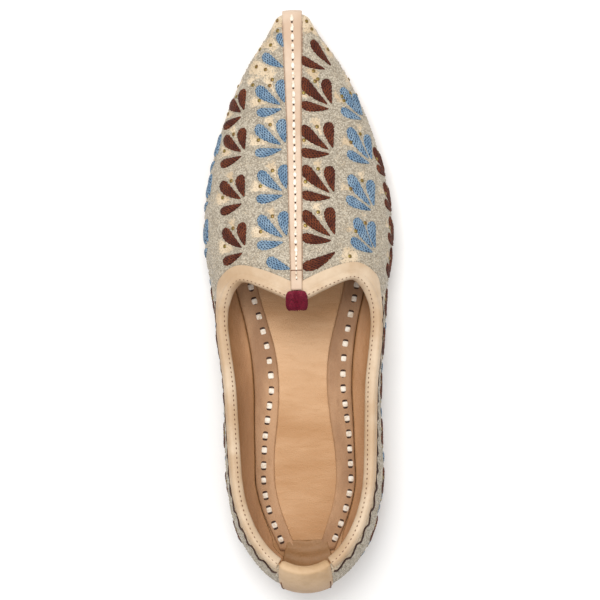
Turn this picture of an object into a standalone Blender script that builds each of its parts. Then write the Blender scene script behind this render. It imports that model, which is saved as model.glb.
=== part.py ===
"""Mojari: a pointed leather slip-on with a bracket-shaped collar, a ridge strip and a wool tassel.

Metres, +Z up. The toe points to -Y, the heel to +Y, and X runs across the foot. The origin is the
middle of the shoe's length and width, on the floor. The last is straight, so the shoe fits either foot.

Every form comes from one last. In plan it has the outline of SECTIONS, with half an ellipse round the
heel. From the outline it rises in a dome to a crown line over its middle, and it tucks in below to the
sole. The rear of the dome is cut away at the collar, whose line COLLAR and HEEL_COLLAR give.
"""

import bmesh
import bpy
import numpy as np

# Driving sizes, in metres
LENGTH = 0.262
BALL_WIDTH = 0.0846
INSTEP_HEIGHT = 0.052
HEEL_HEIGHT = 0.052
WALL = 0.002
TOE_FILL = 0.005
FILL_REACH = 0.05
NOSE = 0.003
NOSE_POWER = 2.5
NOSE_TUCK = 0.0012
OUTSOLE_THICK = 0.004
WELT = 0.0014
HEEL_LIFT = 0.005
HEEL_LIFT_INSET = 0.0008
TOE_SPRING = 0.006
ARCH = 0.0015
INSOLE_THICK = 0.0022
EDGE_STRIP_THICK = 0.001
BINDING_THICK = 0.0011
BINDING_INSIDE = 0.003
RIDGE_STRIP_THICK = 0.0012
RIDGE_STRIP_TIP = 0.0088
RIDGE_STRIP_BALL = 0.0062
RIDGE_STRIP_THROAT = 0.0050
HEEL_TAB_THICK = 0.0012
HEEL_TAB_WIDTH = 0.022
HEEL_TAB_FOOT = 0.0165
HEEL_TAB_FLAP = 0.0165
TASSEL_WIDTH = 0.0094
TASSEL_LENGTH = 0.0084
TASSEL_HEIGHT = 0.0052
TASSEL_LOCKS = 12
GAP = 0.0003

# Where along the length things happen, as shares of it from the heel
HEEL_CENTRE = 0.20
WAIST_REAR = 0.25
WAIST_FRONT = 0.52
SPRING_START = 0.825

# A row for each section: its station from the heel as a share of the length, half width as a share of
# half the ball width, height of the fullest place as a share of the instep height, crown height as
# shares of the instep height and of the heel height, tuck at the sole as a share of the ball width,
# and the powers that round the dome across and upwards.
SECTION_COLUMNS = ("station", "width", "full", "instep", "heel", "tuck", "across", "upward")
SECTIONS = (
    (0.00, 0.822, 0.385, 0.00, 1.270, 0.050, 2.30, 2.30),
    (0.10, 0.824, 0.385, 0.00, 1.230, 0.052, 2.30, 2.30),
    (0.20, 0.826, 0.380, 0.00, 1.200, 0.060, 2.30, 2.30),
    (0.30, 0.830, 0.370, 0.08, 1.105, 0.068, 2.30, 2.30),
    (0.40, 0.850, 0.350, 0.42, 0.730, 0.064, 2.25, 2.30),
    (0.46, 0.900, 0.330, 0.74, 0.350, 0.052, 2.10, 2.25),
    (0.52, 0.934, 0.310, 1.00, 0.010, 0.042, 1.90, 2.20),
    (0.60, 1.000, 0.295, 0.895, 0.00, 0.036, 1.80, 2.15),
    (0.68, 0.970, 0.280, 0.775, 0.00, 0.033, 1.75, 2.10),
    (0.76, 0.862, 0.265, 0.655, 0.00, 0.030, 1.70, 2.05),
    (0.84, 0.690, 0.255, 0.545, 0.00, 0.027, 1.68, 2.00),
    (0.91, 0.474, 0.258, 0.455, 0.00, 0.022, 1.66, 2.00),
    (0.96, 0.265, 0.270, 0.395, 0.00, 0.016, 1.65, 2.00),
    (1.00, 0.135, 0.285, 0.360, 0.00, 0.012, 1.65, 2.00),
)

# The collar from the throat back to the heel's ellipse. Across values are shares of half the ball
# width, along values are shares of the length from the middle, towards the heel. The rim is the upper's
# own edge, the band is the lower edge of the binding, and the outline is where that wall stands.
COLLAR_COLUMNS = ("outline", "rim_across", "rim_along", "band_across", "band_along")
COLLAR = (
    (-0.095, 0.000, 0.001, 0.000, -0.025),
    (-0.078, 0.314, -0.023, 0.284, -0.047),
    (-0.059, 0.556, -0.037, 0.580, -0.060),
    (-0.036, 0.697, -0.025, 0.792, -0.040),
    (-0.010, 0.787, 0.003, 0.834, -0.004),
    (0.025, 0.818, 0.033, 0.843, 0.032),
    (0.070, 0.803, 0.071, 0.829, 0.071),
    (0.145, 0.745, 0.145, 0.771, 0.145),
    (0.200, 0.728, 0.200, 0.755, 0.200),
    (0.254, 0.713, 0.254, 0.741, 0.254),
    (0.300, 0.697, 0.300, 0.726, 0.300),
)

# The collar round the heel: turn from straight back in degrees, and how far rim and band lie inside
# the outline, as shares of the way to the heel's centre.
HEEL_COLLAR_COLUMNS = ("turn", "rim", "band")
HEEL_COLLAR = (
    (0.0, 0.216, 0.187),
    (30.0, 0.214, 0.184),
    (60.0, 0.196, 0.163),
    (90.0, 0.156, 0.121),
)

# The two leather strips on the insole: place along as a share of the length from the middle, and the
# inner and outer edge as shares of half the ball width.
EDGE_STRIP_COLUMNS = ("along", "inner", "outer")
EDGE_STRIP = (
    (-0.270, 0.400, 0.640),
    (-0.155, 0.540, 0.785),
    (-0.020, 0.460, 0.690),
    (0.038, 0.366, 0.603),
    (0.084, 0.293, 0.553),
    (0.153, 0.258, 0.520),
    (0.198, 0.277, 0.525),
    (0.267, 0.326, 0.530),
    (0.324, 0.322, 0.525),
    (0.362, 0.272, 0.468),
    (0.386, 0.222, 0.414),
    (0.405, 0.180, 0.362),
)

# How finely the solids are cut into faces
TAB_STEPS = 3
HEEL_STEPS = 7
SIDE_STEPS = 8
LOBE_STEPS = 10
VAMP_STEPS = 13
NOSE_SHARES = (0.0, 0.35, 0.62, 0.82, 0.94, 1.0)
TUCK_STEPS = 3
DOME_STEPS = 9
STRIP_STEPS = 24
STRIP_ACROSS = 5
SOLE_ROWS = 46
END_ANGLE = 0.05
LIFT_ROWS = 16
EDGE_STRIP_ROWS = 34
TAB_ACROSS = 9
SLOPE_STEP = 0.0001


def columns(table, names):
    """The table as one array for each named column."""
    return dict(zip(names, np.array(table, float).T))


def spline(at, knots, values):
    """A cubic through the knots whose slope there is that of the parabola through three neighbours."""
    step = np.diff(knots)
    chord = np.diff(values) / step
    inner = (chord[:-1] * step[1:] + chord[1:] * step[:-1]) / (step[:-1] + step[1:])
    slope = np.concatenate([[1.5 * chord[0] - 0.5 * inner[0]], inner, [1.5 * chord[-1] - 0.5 * inner[-1]]])
    at = np.clip(at, knots[0], knots[-1])
    i = np.clip(np.searchsorted(knots, at, side="right") - 1, 0, len(knots) - 2)
    s = (at - knots[i]) / step[i]
    rise = (3 - 2 * s) * s * s
    lean = step[i] * (slope[i] * s * (1 - s) ** 2 - slope[i + 1] * s * s * (1 - s))
    return values[i] * (1 - rise) + values[i + 1] * rise + lean


SECTION = columns(SECTIONS, SECTION_COLUMNS)
RIM = columns(COLLAR, COLLAR_COLUMNS)
HEEL_RIM = columns(HEEL_COLLAR, HEEL_COLLAR_COLUMNS)
EDGE = columns(EDGE_STRIP, EDGE_STRIP_COLUMNS)

HALF_BALL = BALL_WIDTH / 2
TIP_Y = -LENGTH / 2 + GAP + RIDGE_STRIP_THICK
BACK_Y = LENGTH / 2 - GAP - HEEL_TAB_THICK
HEEL_REACH = LENGTH * HEEL_CENTRE
HEEL_Y = BACK_Y - HEEL_REACH
LOBE_OUTLINE_Y = LENGTH * RIM["outline"][5]
THROAT_OUTLINE_Y = LENGTH * RIM["outline"][0]
THROAT_Y = LENGTH * RIM["rim_along"][0]
BAND_FRONT_Y = LENGTH * RIM["band_along"][0]


def section(name, y):
    """A column of SECTIONS at a place along the shoe."""
    return spline(0.5 - np.asarray(y, float) / LENGTH, SECTION["station"], SECTION[name])


def half_width(y):
    return HALF_BALL * section("width", y)


def full_height(y):
    return INSTEP_HEIGHT * section("full", y)


def crown_height(y):
    return INSTEP_HEIGHT * section("instep", y) + HEEL_HEIGHT * section("heel", y)


def tuck(y):
    return BALL_WIDTH * section("tuck", y)


def ease(s):
    s = np.clip(s, 0.0, 1.0)
    return s * s * (3 - 2 * s)


def underside(y):
    """The outsole's lower face: flat under the ball, raised by the lift at the heel and sprung at the toe."""
    y = np.asarray(y, float)
    front = LENGTH * (0.5 - WAIST_FRONT)
    rear = LENGTH * (0.5 - WAIST_REAR)
    s = np.clip((y - front) / (rear - front), 0, 1)
    spring_y = LENGTH * (0.5 - SPRING_START)
    t = np.clip((spring_y - y) / (spring_y - TIP_Y), 0, 1)
    return HEEL_LIFT * ease(s) + ARCH * np.sin(np.pi * s) ** 2 + TOE_SPRING * t * t


def seat(y):
    """Where the upper and the insole stand: just above the outsole."""
    return underside(y) + OUTSOLE_THICK + GAP


def insole_top(y):
    return seat(y) + INSOLE_THICK


def nose(y, back=0.0):
    """1 along the shoe, falling to 0 at the tip as a quarter of a rounded square."""
    s = np.clip((TIP_Y + back + NOSE - y) / NOSE, 0, 1)
    return (1 - s**NOSE_POWER) ** (1 / NOSE_POWER)


def side_x(y, inset=0.0, back=0.0):
    """Half width of the last made smaller by inset, measured square to its outline."""
    slope = (half_width(y + SLOPE_STEP) - half_width(y - SLOPE_STEP)) / (2 * SLOPE_STEP)
    return (half_width(y) - inset * np.sqrt(1 + slope**2)) * nose(y, back)


def share_inward(x, y, inset=0.0, back=0.0):
    """0 on the outline, 1 on the middle line, or at the heel's centre within the heel's ellipse."""
    side = np.abs(x) / np.maximum(side_x(y, inset, back), 1e-6)
    across = np.abs(x) / (half_width(HEEL_Y) - inset)
    along = (y - HEEL_Y) / (HEEL_REACH - inset)
    heel = np.hypot(across, along)
    return np.clip(1 - np.where(y > HEEL_Y, heel, side), 0, 1)


def dome_height(x, y, inset=0.0, back=0.0):
    """Height of the last: from its fullest place up to the crown by (1 - (1 - r)^across)^(1 / upward)."""
    inward = share_inward(x, y, inset, back)
    across = section("across", y)
    upward = section("upward", y)
    low = full_height(y)
    rise = (1 - (1 - inward) ** across) ** (1 / upward)
    return low + (crown_height(y) - inset - low) * rise * nose(y, back)


def on_dome(x, y, out=0.0):
    """The point of the upper's outer skin over (x, y), moved out square to the skin, and that normal."""
    x = np.asarray(x, float)
    y = np.asarray(y, float)
    dx = (dome_height(x + SLOPE_STEP, y) - dome_height(x - SLOPE_STEP, y)) / (2 * SLOPE_STEP)
    dy = (dome_height(x, y + SLOPE_STEP) - dome_height(x, y - SLOPE_STEP)) / (2 * SLOPE_STEP)
    normal = np.stack([-dx, -dy, np.ones_like(dx)], -1)
    normal /= np.linalg.norm(normal, axis=-1, keepdims=True)
    point = np.stack([x, y, dome_height(x, y)], -1)
    return point + out * normal, normal


def toe_shift(y, back):
    """How far the lining stands behind the outer skin: all of back at the tip, none FILL_REACH from it."""
    return back * np.clip((TIP_Y + FILL_REACH - y) / FILL_REACH, 0, 1) ** 2


def outline_point(turn, y, inset, back=0.0):
    """The outline in plan: by turn round the heel's ellipse, by y at the side."""
    shift = toe_shift(y, back)
    heel_x = (half_width(HEEL_Y) - inset) * np.sin(turn)
    heel_y = HEEL_Y + (HEEL_REACH - inset) * np.cos(turn)
    at = y + shift
    x = np.where(y >= HEEL_Y, heel_x, side_x(at, inset, back))
    return x, np.where(y >= HEEL_Y, heel_y, at)


def stations():
    """Turn round the heel and place along the side of each upright line, and how many end at the rim."""
    tab = heel_tab_turn(HEEL_TAB_WIDTH / 2)
    beside = np.linspace(tab, np.pi / 2, HEEL_STEPS + 1)[1:]
    turn = np.concatenate([np.linspace(0, tab, TAB_STEPS + 1), beside])
    heel_y = HEEL_Y + HEEL_REACH * np.cos(turn)
    side = np.linspace(HEEL_Y, LOBE_OUTLINE_Y, SIDE_STEPS + 1)[1:]
    side = np.concatenate([side, np.linspace(LOBE_OUTLINE_Y, THROAT_OUTLINE_Y, LOBE_STEPS + 1)[1:]])
    vamp = np.linspace(THROAT_OUTLINE_Y, TIP_Y + NOSE, VAMP_STEPS + 1)[1:-1]
    tip = TIP_Y + NOSE * (1 - np.array(NOSE_SHARES))
    y = np.concatenate([heel_y, side, vamp, tip])
    turns = np.full(len(y), np.pi / 2)
    turns[: len(turn)] = turn
    return turns, y, len(turn) + len(side)


def rim_point(turn, y, part):
    """The collar's rim or the binding's lower edge in plan, for each station behind the throat."""
    share = spline(np.degrees(turn), HEEL_RIM["turn"], HEEL_RIM[part])
    heel_x = (1 - share) * half_width(HEEL_Y) * np.sin(turn)
    heel_y = HEEL_Y + (1 - share) * HEEL_REACH * np.cos(turn)
    side_share = y / LENGTH
    across = HALF_BALL * spline(side_share, RIM["outline"], RIM[part + "_across"])
    along = LENGTH * spline(side_share, RIM["outline"], RIM[part + "_along"])
    return np.where(y > HEEL_Y, heel_x, across), np.where(y > HEEL_Y, heel_y, along)


def top_line(turn, y, rim_count, inset):
    """Where each upright line ends, in plan: at the rim behind the throat, on the middle line before it."""
    rim_x, rim_y = rim_point(turn[:rim_count], y[:rim_count], "rim")
    _, normal = on_dome(rim_x, rim_y)
    rim_x = rim_x - inset * normal[:, 0]
    rim_y = rim_y - inset * normal[:, 1]
    rim_x[0] = 0.0
    rim_x[-1] = 0.0
    forward = (y[rim_count:] - THROAT_OUTLINE_Y) / (TIP_Y - THROAT_OUTLINE_Y)
    ridge_y = THROAT_Y + forward * (TIP_Y - THROAT_Y)
    return np.concatenate([rim_x, np.zeros(len(ridge_y))]), np.concatenate([rim_y, ridge_y])


def skin(inset, back):
    """Half of one skin of the upper, heel to tip by sole to top: the tuck, then the dome.

    Below the fullest place a point stands inside the outline by tuck times (1 - k)^2, and above it a
    straight line in plan runs from the outline to the rim or the middle line, its steps growing as squares.
    """
    turn, y, rim_count = stations()
    rows = []
    for k in np.linspace(0, 1, TUCK_STEPS + 1)[:-1]:
        under = (1 - k) ** 2
        px, py = outline_point(turn, y, inset + tuck(y) * under, back + NOSE_TUCK * under)
        foot = seat(py)
        rows.append(np.stack([px, py, foot + (full_height(py) - foot) * k], -1))
    start_x, start_y = outline_point(turn, y, inset, back)
    end_x, end_y = top_line(turn, y, rim_count, inset)
    end_y = end_y + toe_shift(end_y, back)
    for s in np.linspace(0, 1, DOME_STEPS + 1):
        px = start_x + (end_x - start_x) * s * s
        py = start_y + (end_y - start_y) * s * s
        rows.append(np.stack([px, py, dome_height(px, py, inset, back)], -1))
    grid = np.stack(rows, 1)
    grid[0, :, 0] = 0.0
    grid[-1, :, 0] = 0.0
    return grid, rim_count


def material(name, colour, roughness):
    made = bpy.data.materials.new(name)
    made.use_nodes = True
    shader = made.node_tree.nodes["Principled BSDF"]
    shader.inputs["Base Color"].default_value = (*colour, 1.0)
    shader.inputs["Roughness"].default_value = roughness
    shader.inputs["Metallic"].default_value = 0.0
    return made


def add_object(name, points, faces, finish):
    """One closed body: doubles merged, faces turned outwards, smooth but for its sharp edges."""
    mesh = bpy.data.meshes.new(name)
    mesh.from_pydata([tuple(p) for p in points], [], [tuple(f) for f in faces])
    shape = bmesh.new()
    shape.from_mesh(mesh)
    bmesh.ops.remove_doubles(shape, verts=shape.verts, dist=1e-6)
    bmesh.ops.dissolve_degenerate(shape, edges=shape.edges, dist=1e-6)
    bmesh.ops.recalc_face_normals(shape, faces=shape.faces)
    shape.to_mesh(mesh)
    shape.free()
    mesh.shade_smooth()
    mesh.set_sharp_from_angle(angle=np.radians(40))
    mesh.materials.append(finish)
    made = bpy.data.objects.new(name, mesh)
    bpy.context.collection.objects.link(made)
    return made


def quads(numbers):
    """The faces between neighbours of a grid of vertex numbers."""
    corners = (numbers[:-1, :-1], numbers[1:, :-1], numbers[1:, 1:], numbers[:-1, 1:])
    return [tuple(f) for f in np.stack(corners, -1).reshape(-1, 4)]


def mirrored_shell(name, outer, inner, open_top, open_start, finish):
    """A shell between two half skins and its mirror image, closed along the sole edge, along the top up
    to row open_top, and at its first row where open_start is true."""
    size = outer.shape[0] * outer.shape[1]
    number = np.arange(size).reshape(outer.shape[:2])
    walls = [np.stack([number[:, 0], number[:, 0] + size], 1)]
    if open_top > 1:
        walls.append(np.stack([number[:open_top, -1], number[:open_top, -1] + size], 1))
    if open_start:
        walls.append(np.stack([number[0, :], number[0, :] + size], 1))
    faces = quads(number) + quads(number + size)
    for wall in walls:
        faces += quads(wall)
    points = np.concatenate([outer.reshape(-1, 3), inner.reshape(-1, 3)])
    other = [tuple(i + 2 * size for i in reversed(face)) for face in faces]
    return add_object(name, np.concatenate([points, points * (-1, 1, 1)]), faces + other, finish)


def loft(name, sections, finish):
    """A body whose sections are closed rings of points, with a flat end at the first and the last."""
    count, ring = sections.shape[:2]
    number = np.arange(count * ring).reshape(count, ring)
    faces = quads(np.concatenate([number, number[:, :1]], 1))
    faces += [tuple(number[0]), tuple(reversed(number[-1]))]
    return add_object(name, sections.reshape(-1, 3), faces, finish)


def rows_between(front, rear):
    """Places along the foot, closest together at both ends, as cosines of equal angles."""
    angle = np.linspace(END_ANGLE, np.pi - END_ANGLE, SOLE_ROWS)
    return (front + rear) / 2 - (rear - front) / 2 * np.cos(angle)


def outsole(finish):
    """The leather sole: as wide as the upper's foot and its welt, with eased edges."""
    ease_edge = OUTSOLE_THICK / 4
    foot = float(tuck(BACK_Y)) - WELT
    front = TIP_Y + float(tuck(TIP_Y)) * 0.5
    rear = BACK_Y - foot
    y = rows_between(front, rear)
    half = sole_half_width(y)
    low = underside(y)
    ring = []
    for side in (-1, 1):
        steps = ((0.0, ease_edge), (1.0, 0.0), (1.0, 0.0), (0.0, ease_edge))
        heights = (0.0, 0.25, 0.75, 1.0)
        order = range(4) if side < 0 else range(3, -1, -1)
        for i in order:
            x = side * np.maximum(half - steps[i][1], half * 0.6)
            ring.append(np.stack([x, y, low + OUTSOLE_THICK * heights[i]], -1))
    return loft("outsole", np.stack(ring, 1), finish)


def sole_half_width(y, inset=0.0):
    """Half width of the outsole: the upper's foot and the welt beyond it."""
    step_in = tuck(y) - WELT + inset
    along = np.clip((y - HEEL_Y) / (HEEL_REACH - step_in), 0, 1)
    heel = (half_width(HEEL_Y) - step_in) * np.sqrt(1 - along**2)
    return np.where(y > HEEL_Y, heel, side_x(y, step_in, float(tuck(TIP_Y)) * 0.5))


def heel_lift(finish):
    """The stacked lift under the heel seat, flat above and below, with a straight breast."""
    front = LENGTH * (0.5 - WAIST_REAR) + GAP
    rear = BACK_Y - float(tuck(BACK_Y)) + WELT - HEEL_LIFT_INSET
    angle = np.linspace(0, np.pi / 2 - END_ANGLE, LIFT_ROWS)
    y = front + (rear - front) * np.sin(angle)
    half = sole_half_width(y, HEEL_LIFT_INSET)
    top = np.full_like(y, HEEL_LIFT - GAP)
    ring = [np.stack([side * half, y, height], -1) for side, height in
            ((-1, top * 0), (-1, top), (1, top), (1, top * 0))]
    return loft("heel_lift", np.stack(ring, 1), finish)


def insole(finish):
    """The footbed: it lies on the outsole and reaches to the upper's inner face at each height."""
    clearance = WALL + GAP
    heel_tuck = float(tuck(BACK_Y))
    rear = BACK_Y - heel_tuck - clearance
    front = TIP_Y + TOE_FILL + NOSE
    y = rows_between(front, rear)
    ring = []
    for side in (-1, 1):
        levels = (0.0, 0.5, 1.0) if side < 0 else (1.0, 0.5, 0.0)
        for level in levels:
            half = sole_half_width(y, WELT + clearance)
            height = seat(y) + INSOLE_THICK * level
            ring.append(np.stack([side * half, y, height], -1))
    return loft("insole", np.stack(ring, 1), finish)


def edge_strip(name, side, finish):
    """A leather strip on the insole, laid along the foot between its two edge lines."""
    along = np.linspace(EDGE["along"][0], EDGE["along"][-1], EDGE_STRIP_ROWS)
    y = LENGTH * along
    inner = HALF_BALL * spline(along, EDGE["along"], EDGE["inner"])
    outer = HALF_BALL * spline(along, EDGE["along"], EDGE["outer"])
    low = insole_top(y) + GAP
    high = low + EDGE_STRIP_THICK
    corners = ((inner, low), (inner, high), (outer, high), (outer, low))
    ring = [np.stack([side * x, y, z], -1) for x, z in corners]
    return loft(name, np.stack(ring, 1), finish)


def upper(finish):
    """The hollow upper: outer and inner skin of the last, joined at the rim and along the sole."""
    outer, rim_count = skin(0.0, 0.0)
    inner, _ = skin(WALL, TOE_FILL)
    return mirrored_shell("upper", outer, inner, rim_count, False, finish)


def binding(name, side, finish):
    """The folded collar facing on one side, from the heel tab to the throat: down the outside to the
    band line, over the rim and a little way down the lining side."""
    turn, y, rim_count = stations()
    turn = turn[TAB_STEPS:rim_count].copy()
    y = y[TAB_STEPS:rim_count].copy()
    turn[0] += GAP * 2 / half_width(HEEL_Y)
    y[0] = HEEL_Y + HEEL_REACH * np.cos(turn[0])
    rim_x, rim_y = rim_point(turn, y, "rim")
    band_x, band_y = rim_point(turn, y, "band")
    rim, normal = on_dome(rim_x, rim_y)
    upward = np.cross(np.gradient(rim, axis=0), normal)
    upward[-1] = np.cross((-1.0, 0.0, 0.0), normal[-1])
    upward /= np.linalg.norm(upward, axis=-1, keepdims=True)
    over = GAP + BINDING_THICK
    corner = over * 0.75

    def at_rim(out, up):
        return rim + normal * out + upward * up

    def down(share, out):
        return on_dome(rim_x + (band_x - rim_x) * share, rim_y + (band_y - rim_y) * share, out)[0]

    def lining(out):
        below = rim - upward * BINDING_INSIDE
        return on_dome(below[:, 0], below[:, 1], out)[0]

    ring = [down(share, over) for share in (1.0, 0.6, 0.25, 0.0)]
    ring += [at_rim(corner, corner), at_rim(-WALL / 2, over), at_rim(-WALL - corner, corner)]
    ring += [at_rim(-WALL - over, 0.0), lining(-WALL - over)]
    ring += [lining(-WALL - GAP * 1.5), at_rim(-WALL - GAP * 1.5, GAP), at_rim(GAP, GAP)]
    ring += [down(share, GAP) for share in (0.25, 0.6, 1.0)]
    sections = np.stack(ring, 1)
    sections[..., 0] = np.maximum(sections[..., 0], GAP / 2)
    sections[-1, :, 0] = GAP / 2
    return loft(name, sections * (side, 1, 1), finish)


def ridge_strip_half(y):
    """Half width of the ridge strip: widest at the tip, narrow at the throat."""
    ball = LENGTH * (0.5 - 0.75)
    toe_part = ease((ball - y) / (ball - TIP_Y))
    throat_part = ease((y - ball) / (THROAT_Y - ball))
    return (RIDGE_STRIP_BALL + (RIDGE_STRIP_TIP - RIDGE_STRIP_BALL) * toe_part
            + (RIDGE_STRIP_THROAT - RIDGE_STRIP_BALL) * throat_part) / 2


def ridge_strip(finish):
    """The strip over the ridge seam, from the tassel to the tip and down the nose to the sole.

    A row of it runs across at one y, on the last made larger by its lift. At the nose, where the last
    is narrower than the strip, the row is the last's whole section.
    """
    end = tassel_front() - GAP
    top = np.linspace(end, TIP_Y + NOSE, STRIP_STEPS + 1)
    tip_half = ridge_strip_half(TIP_Y)
    skins = []
    for thick in (RIDGE_STRIP_THICK, 0.0):
        rows = []
        for y in top:
            over_band = (GAP + BINDING_THICK) * ease((y - BAND_FRONT_Y + 0.006) / 0.004)
            rows.append(strip_row(y, GAP + thick + over_band))
        lift = GAP + thick
        shares = np.linspace(0, 1, 101)
        wide = side_x(TIP_Y - lift + NOSE * (1 - shares), -lift, -lift)
        begin = float(np.interp(-tip_half, -wide, shares))
        before = begin * np.array([0.35, 0.7, 0.9, 1.0])
        after = begin + (1 - begin) * np.array([0.12, 0.5, 0.85, 1.0])
        for share in np.concatenate([before, after]):
            rows.append(strip_row(TIP_Y - lift + NOSE * (1 - share), lift, share > begin))
        skins.append(np.stack(rows))
    return mirrored_shell("ridge_strip", skins[0], skins[1], 0, True, finish)


def strip_row(y, lift, whole=False):
    """Points from the strip's edge to the middle line at one y, or from the sole up where whole is true."""
    wide = float(side_x(y, -lift, -lift))
    s = np.linspace(0, 1, STRIP_ACROSS)
    at = np.full(STRIP_ACROSS, y)
    if not whole:
        x = min(float(ridge_strip_half(y)), wide) * (1 - s)
        return np.stack([x, at, dome_height(x, at, -lift, -lift)], -1)
    low = float(seat(y)) + GAP
    full = float(full_height(y))
    k = np.clip(s * 2, 0, 1)
    x = np.maximum(wide - float(tuck(y)) * (1 - k) ** 2, 0.0) * (1 - np.clip(s * 2 - 1, 0, 1) ** 2)
    z = np.where(s < 0.5, low + (full - low) * k, dome_height(x, at, -lift, -lift))
    return np.stack([x, at, z], -1)


def heel_tab_turn(x):
    """The turn round the heel at which the rim has this x."""
    return float(np.arcsin(x / ((1 - HEEL_COLLAR[0][1]) * half_width(HEEL_Y))))


def heel_tab(finish):
    """The tab over the back of the collar: up the outside of the heel, over the rim, down the inside and
    forward on the insole. A row of it runs across at one height, its columns at equal turns."""
    columns_across = np.linspace(-1, 1, TAB_ACROSS)
    wide = heel_tab_turn(HEEL_TAB_WIDTH / 2)
    foot = float(np.arcsin(HEEL_TAB_FOOT / 2 / half_width(HEEL_Y)))
    near = []
    far = []

    def heel_plan(turn, share, inset=0.0):
        x = (half_width(HEEL_Y) - inset) * np.sin(turn) * (1 - share)
        return x, HEEL_Y + (HEEL_REACH - inset) * np.cos(turn) * (1 - share)

    def outward(turn):
        way = np.stack([np.sin(turn) * HEEL_REACH, np.cos(turn) * half_width(HEEL_Y), 0 * turn], -1)
        return way / np.linalg.norm(way, axis=-1, keepdims=True)

    for k in (0.12, 0.4, 0.7):
        turn = columns_across * (foot + (wide - foot) * k * 0.4)
        x, y = heel_plan(turn, 0.0, tuck(np.full_like(turn, BACK_Y)) * (1 - k) ** 2)
        low = seat(y)
        point = np.stack([x, y, low + (full_height(y) - low) * k], -1)
        near.append(point + outward(turn) * GAP)
        far.append(point + outward(turn) * (GAP + HEEL_TAB_THICK))
    rim_share = float(HEEL_RIM["rim"][0])
    for s in (0.0, 0.2, 0.4, 0.6, 0.8, 1.0):
        turn = columns_across * (foot + (wide - foot) * (0.4 + 0.6 * s))
        share = spline(np.degrees(np.abs(turn)), HEEL_RIM["turn"], HEEL_RIM["rim"]) * s * s
        x, y = heel_plan(turn, share)
        near.append(on_dome(x, y, GAP)[0])
        far.append(on_dome(x, y, GAP + HEEL_TAB_THICK)[0])
    turn = columns_across * wide
    x, y = heel_plan(turn, spline(np.degrees(np.abs(turn)), HEEL_RIM["turn"], HEEL_RIM["rim"]))
    rim, normal = on_dome(x, y)
    before, _ = on_dome(*heel_plan(turn, rim_share * 0.9))
    upward = rim - before
    upward -= normal * np.sum(upward * normal, -1, keepdims=True)
    upward /= np.linalg.norm(upward, axis=-1, keepdims=True)
    over = GAP + HEEL_TAB_THICK
    round_off = over * 0.75
    corners = (
        (0.0, GAP, round_off, round_off),
        (-WALL / 2, 0.0, 0.0, over),
        (-WALL, -GAP, -round_off, round_off),
    )
    for base, hidden, out, up in corners:
        near.append(rim + normal * (base + hidden) + upward * GAP)
        far.append(rim + normal * (base + out) + upward * up)
    inner_rim = rim - normal * WALL
    floor = insole_top(BACK_Y)
    clear = WALL + GAP
    for drop in (0.04, 0.3, 0.6, 0.85):
        z = inner_rim[:, 2:] + (floor + over * 1.5 - inner_rim[:, 2:]) * drop
        near.append(inner_heel(turn, z[:, 0], clear))
        far.append(inner_heel(turn, z[:, 0], clear + HEEL_TAB_THICK))
    foot_line = inner_heel(turn, np.full_like(turn, floor + over * 1.6), clear)
    for reach in (0.18, 0.45, 0.75, 1.0):
        bow = HEEL_TAB_FLAP * reach * (1 - 0.35 * columns_across**2)
        x = foot_line[:, 0] * (1 - 0.1 * reach)
        y = foot_line[:, 1] - bow
        near.append(np.stack([x, y, np.full_like(x, floor + GAP)], -1))
        far.append(np.stack([x, y, np.full_like(x, floor + over)], -1))
    sections = np.concatenate([np.stack(far), np.stack(near)[:, ::-1]], 1)
    return loft("heel_tab", sections, finish)


def inner_heel(turn, z, inset):
    """The point of the last made smaller by inset, round the heel at a height, found from the dome's
    own formula turned round: r = 1 - (1 - rise^upward)^(1 / across)."""
    y = HEEL_Y + HEEL_REACH * np.cos(turn) * 0.9
    low = full_height(y)
    rise = np.clip((z - low) / (crown_height(y) - inset - low), 0, 1)
    share = 1 - (1 - rise ** section("upward", y)) ** (1 / section("across", y))
    k = np.clip((z - seat(y)) / (low - seat(y)), 0, 1)
    step_in = inset + tuck(y) * (1 - k) ** 2
    px = (half_width(HEEL_Y) - step_in) * np.sin(turn) * (1 - share)
    py = HEEL_Y + (HEEL_REACH - step_in) * np.cos(turn) * (1 - share)
    return np.stack([px, py, z], -1)


def tassel_front():
    """The tassel's front end: it reaches as far before the throat as its other half hangs behind it."""
    return THROAT_Y - TASSEL_LENGTH / 2


def tassel(finish):
    """A stub of wool over the throat: two lobes of upright locks, bound at the front, cut at the back.

    Its section is a rounded square of TASSEL_LOCKS locks, its radius made larger by the size of
    cos(locks / 2 * angle), and it droops towards its cut end.
    """
    angle = np.linspace(0, 2 * np.pi, TASSEL_LOCKS * 4, endpoint=False)
    lock = 0.88 + 0.12 * np.abs(np.cos(angle * TASSEL_LOCKS / 2))
    square = (np.abs(np.cos(angle)) ** 2.6 + np.abs(np.sin(angle)) ** 2.6) ** (-1 / 2.6)
    middle = 1 - 0.2 * np.exp(-((np.cos(angle) / 0.2) ** 2))
    along = np.array([0.0, 0.05, 0.18, 0.42, 0.68, 0.86, 0.96, 1.0])
    swell = np.array([0.60, 0.80, 0.93, 1.0, 1.0, 0.93, 0.76, 0.50])
    bed = on_dome(0.0, tassel_front())[0][2] + GAP * 2 + BINDING_THICK
    rings = []
    for share, size in zip(along, swell):
        x = TASSEL_WIDTH / 2 * size * lock * square * np.cos(angle)
        z = TASSEL_HEIGHT / 2 * size * lock * square * middle * np.sin(angle)
        z = z + bed + TASSEL_HEIGHT / 2 + TASSEL_HEIGHT * 0.16 * (1 - share)
        rings.append(np.stack([x, np.full_like(x, tassel_front() + TASSEL_LENGTH * share), z], -1))
    return loft("tassel", np.stack(rings), finish)


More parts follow.
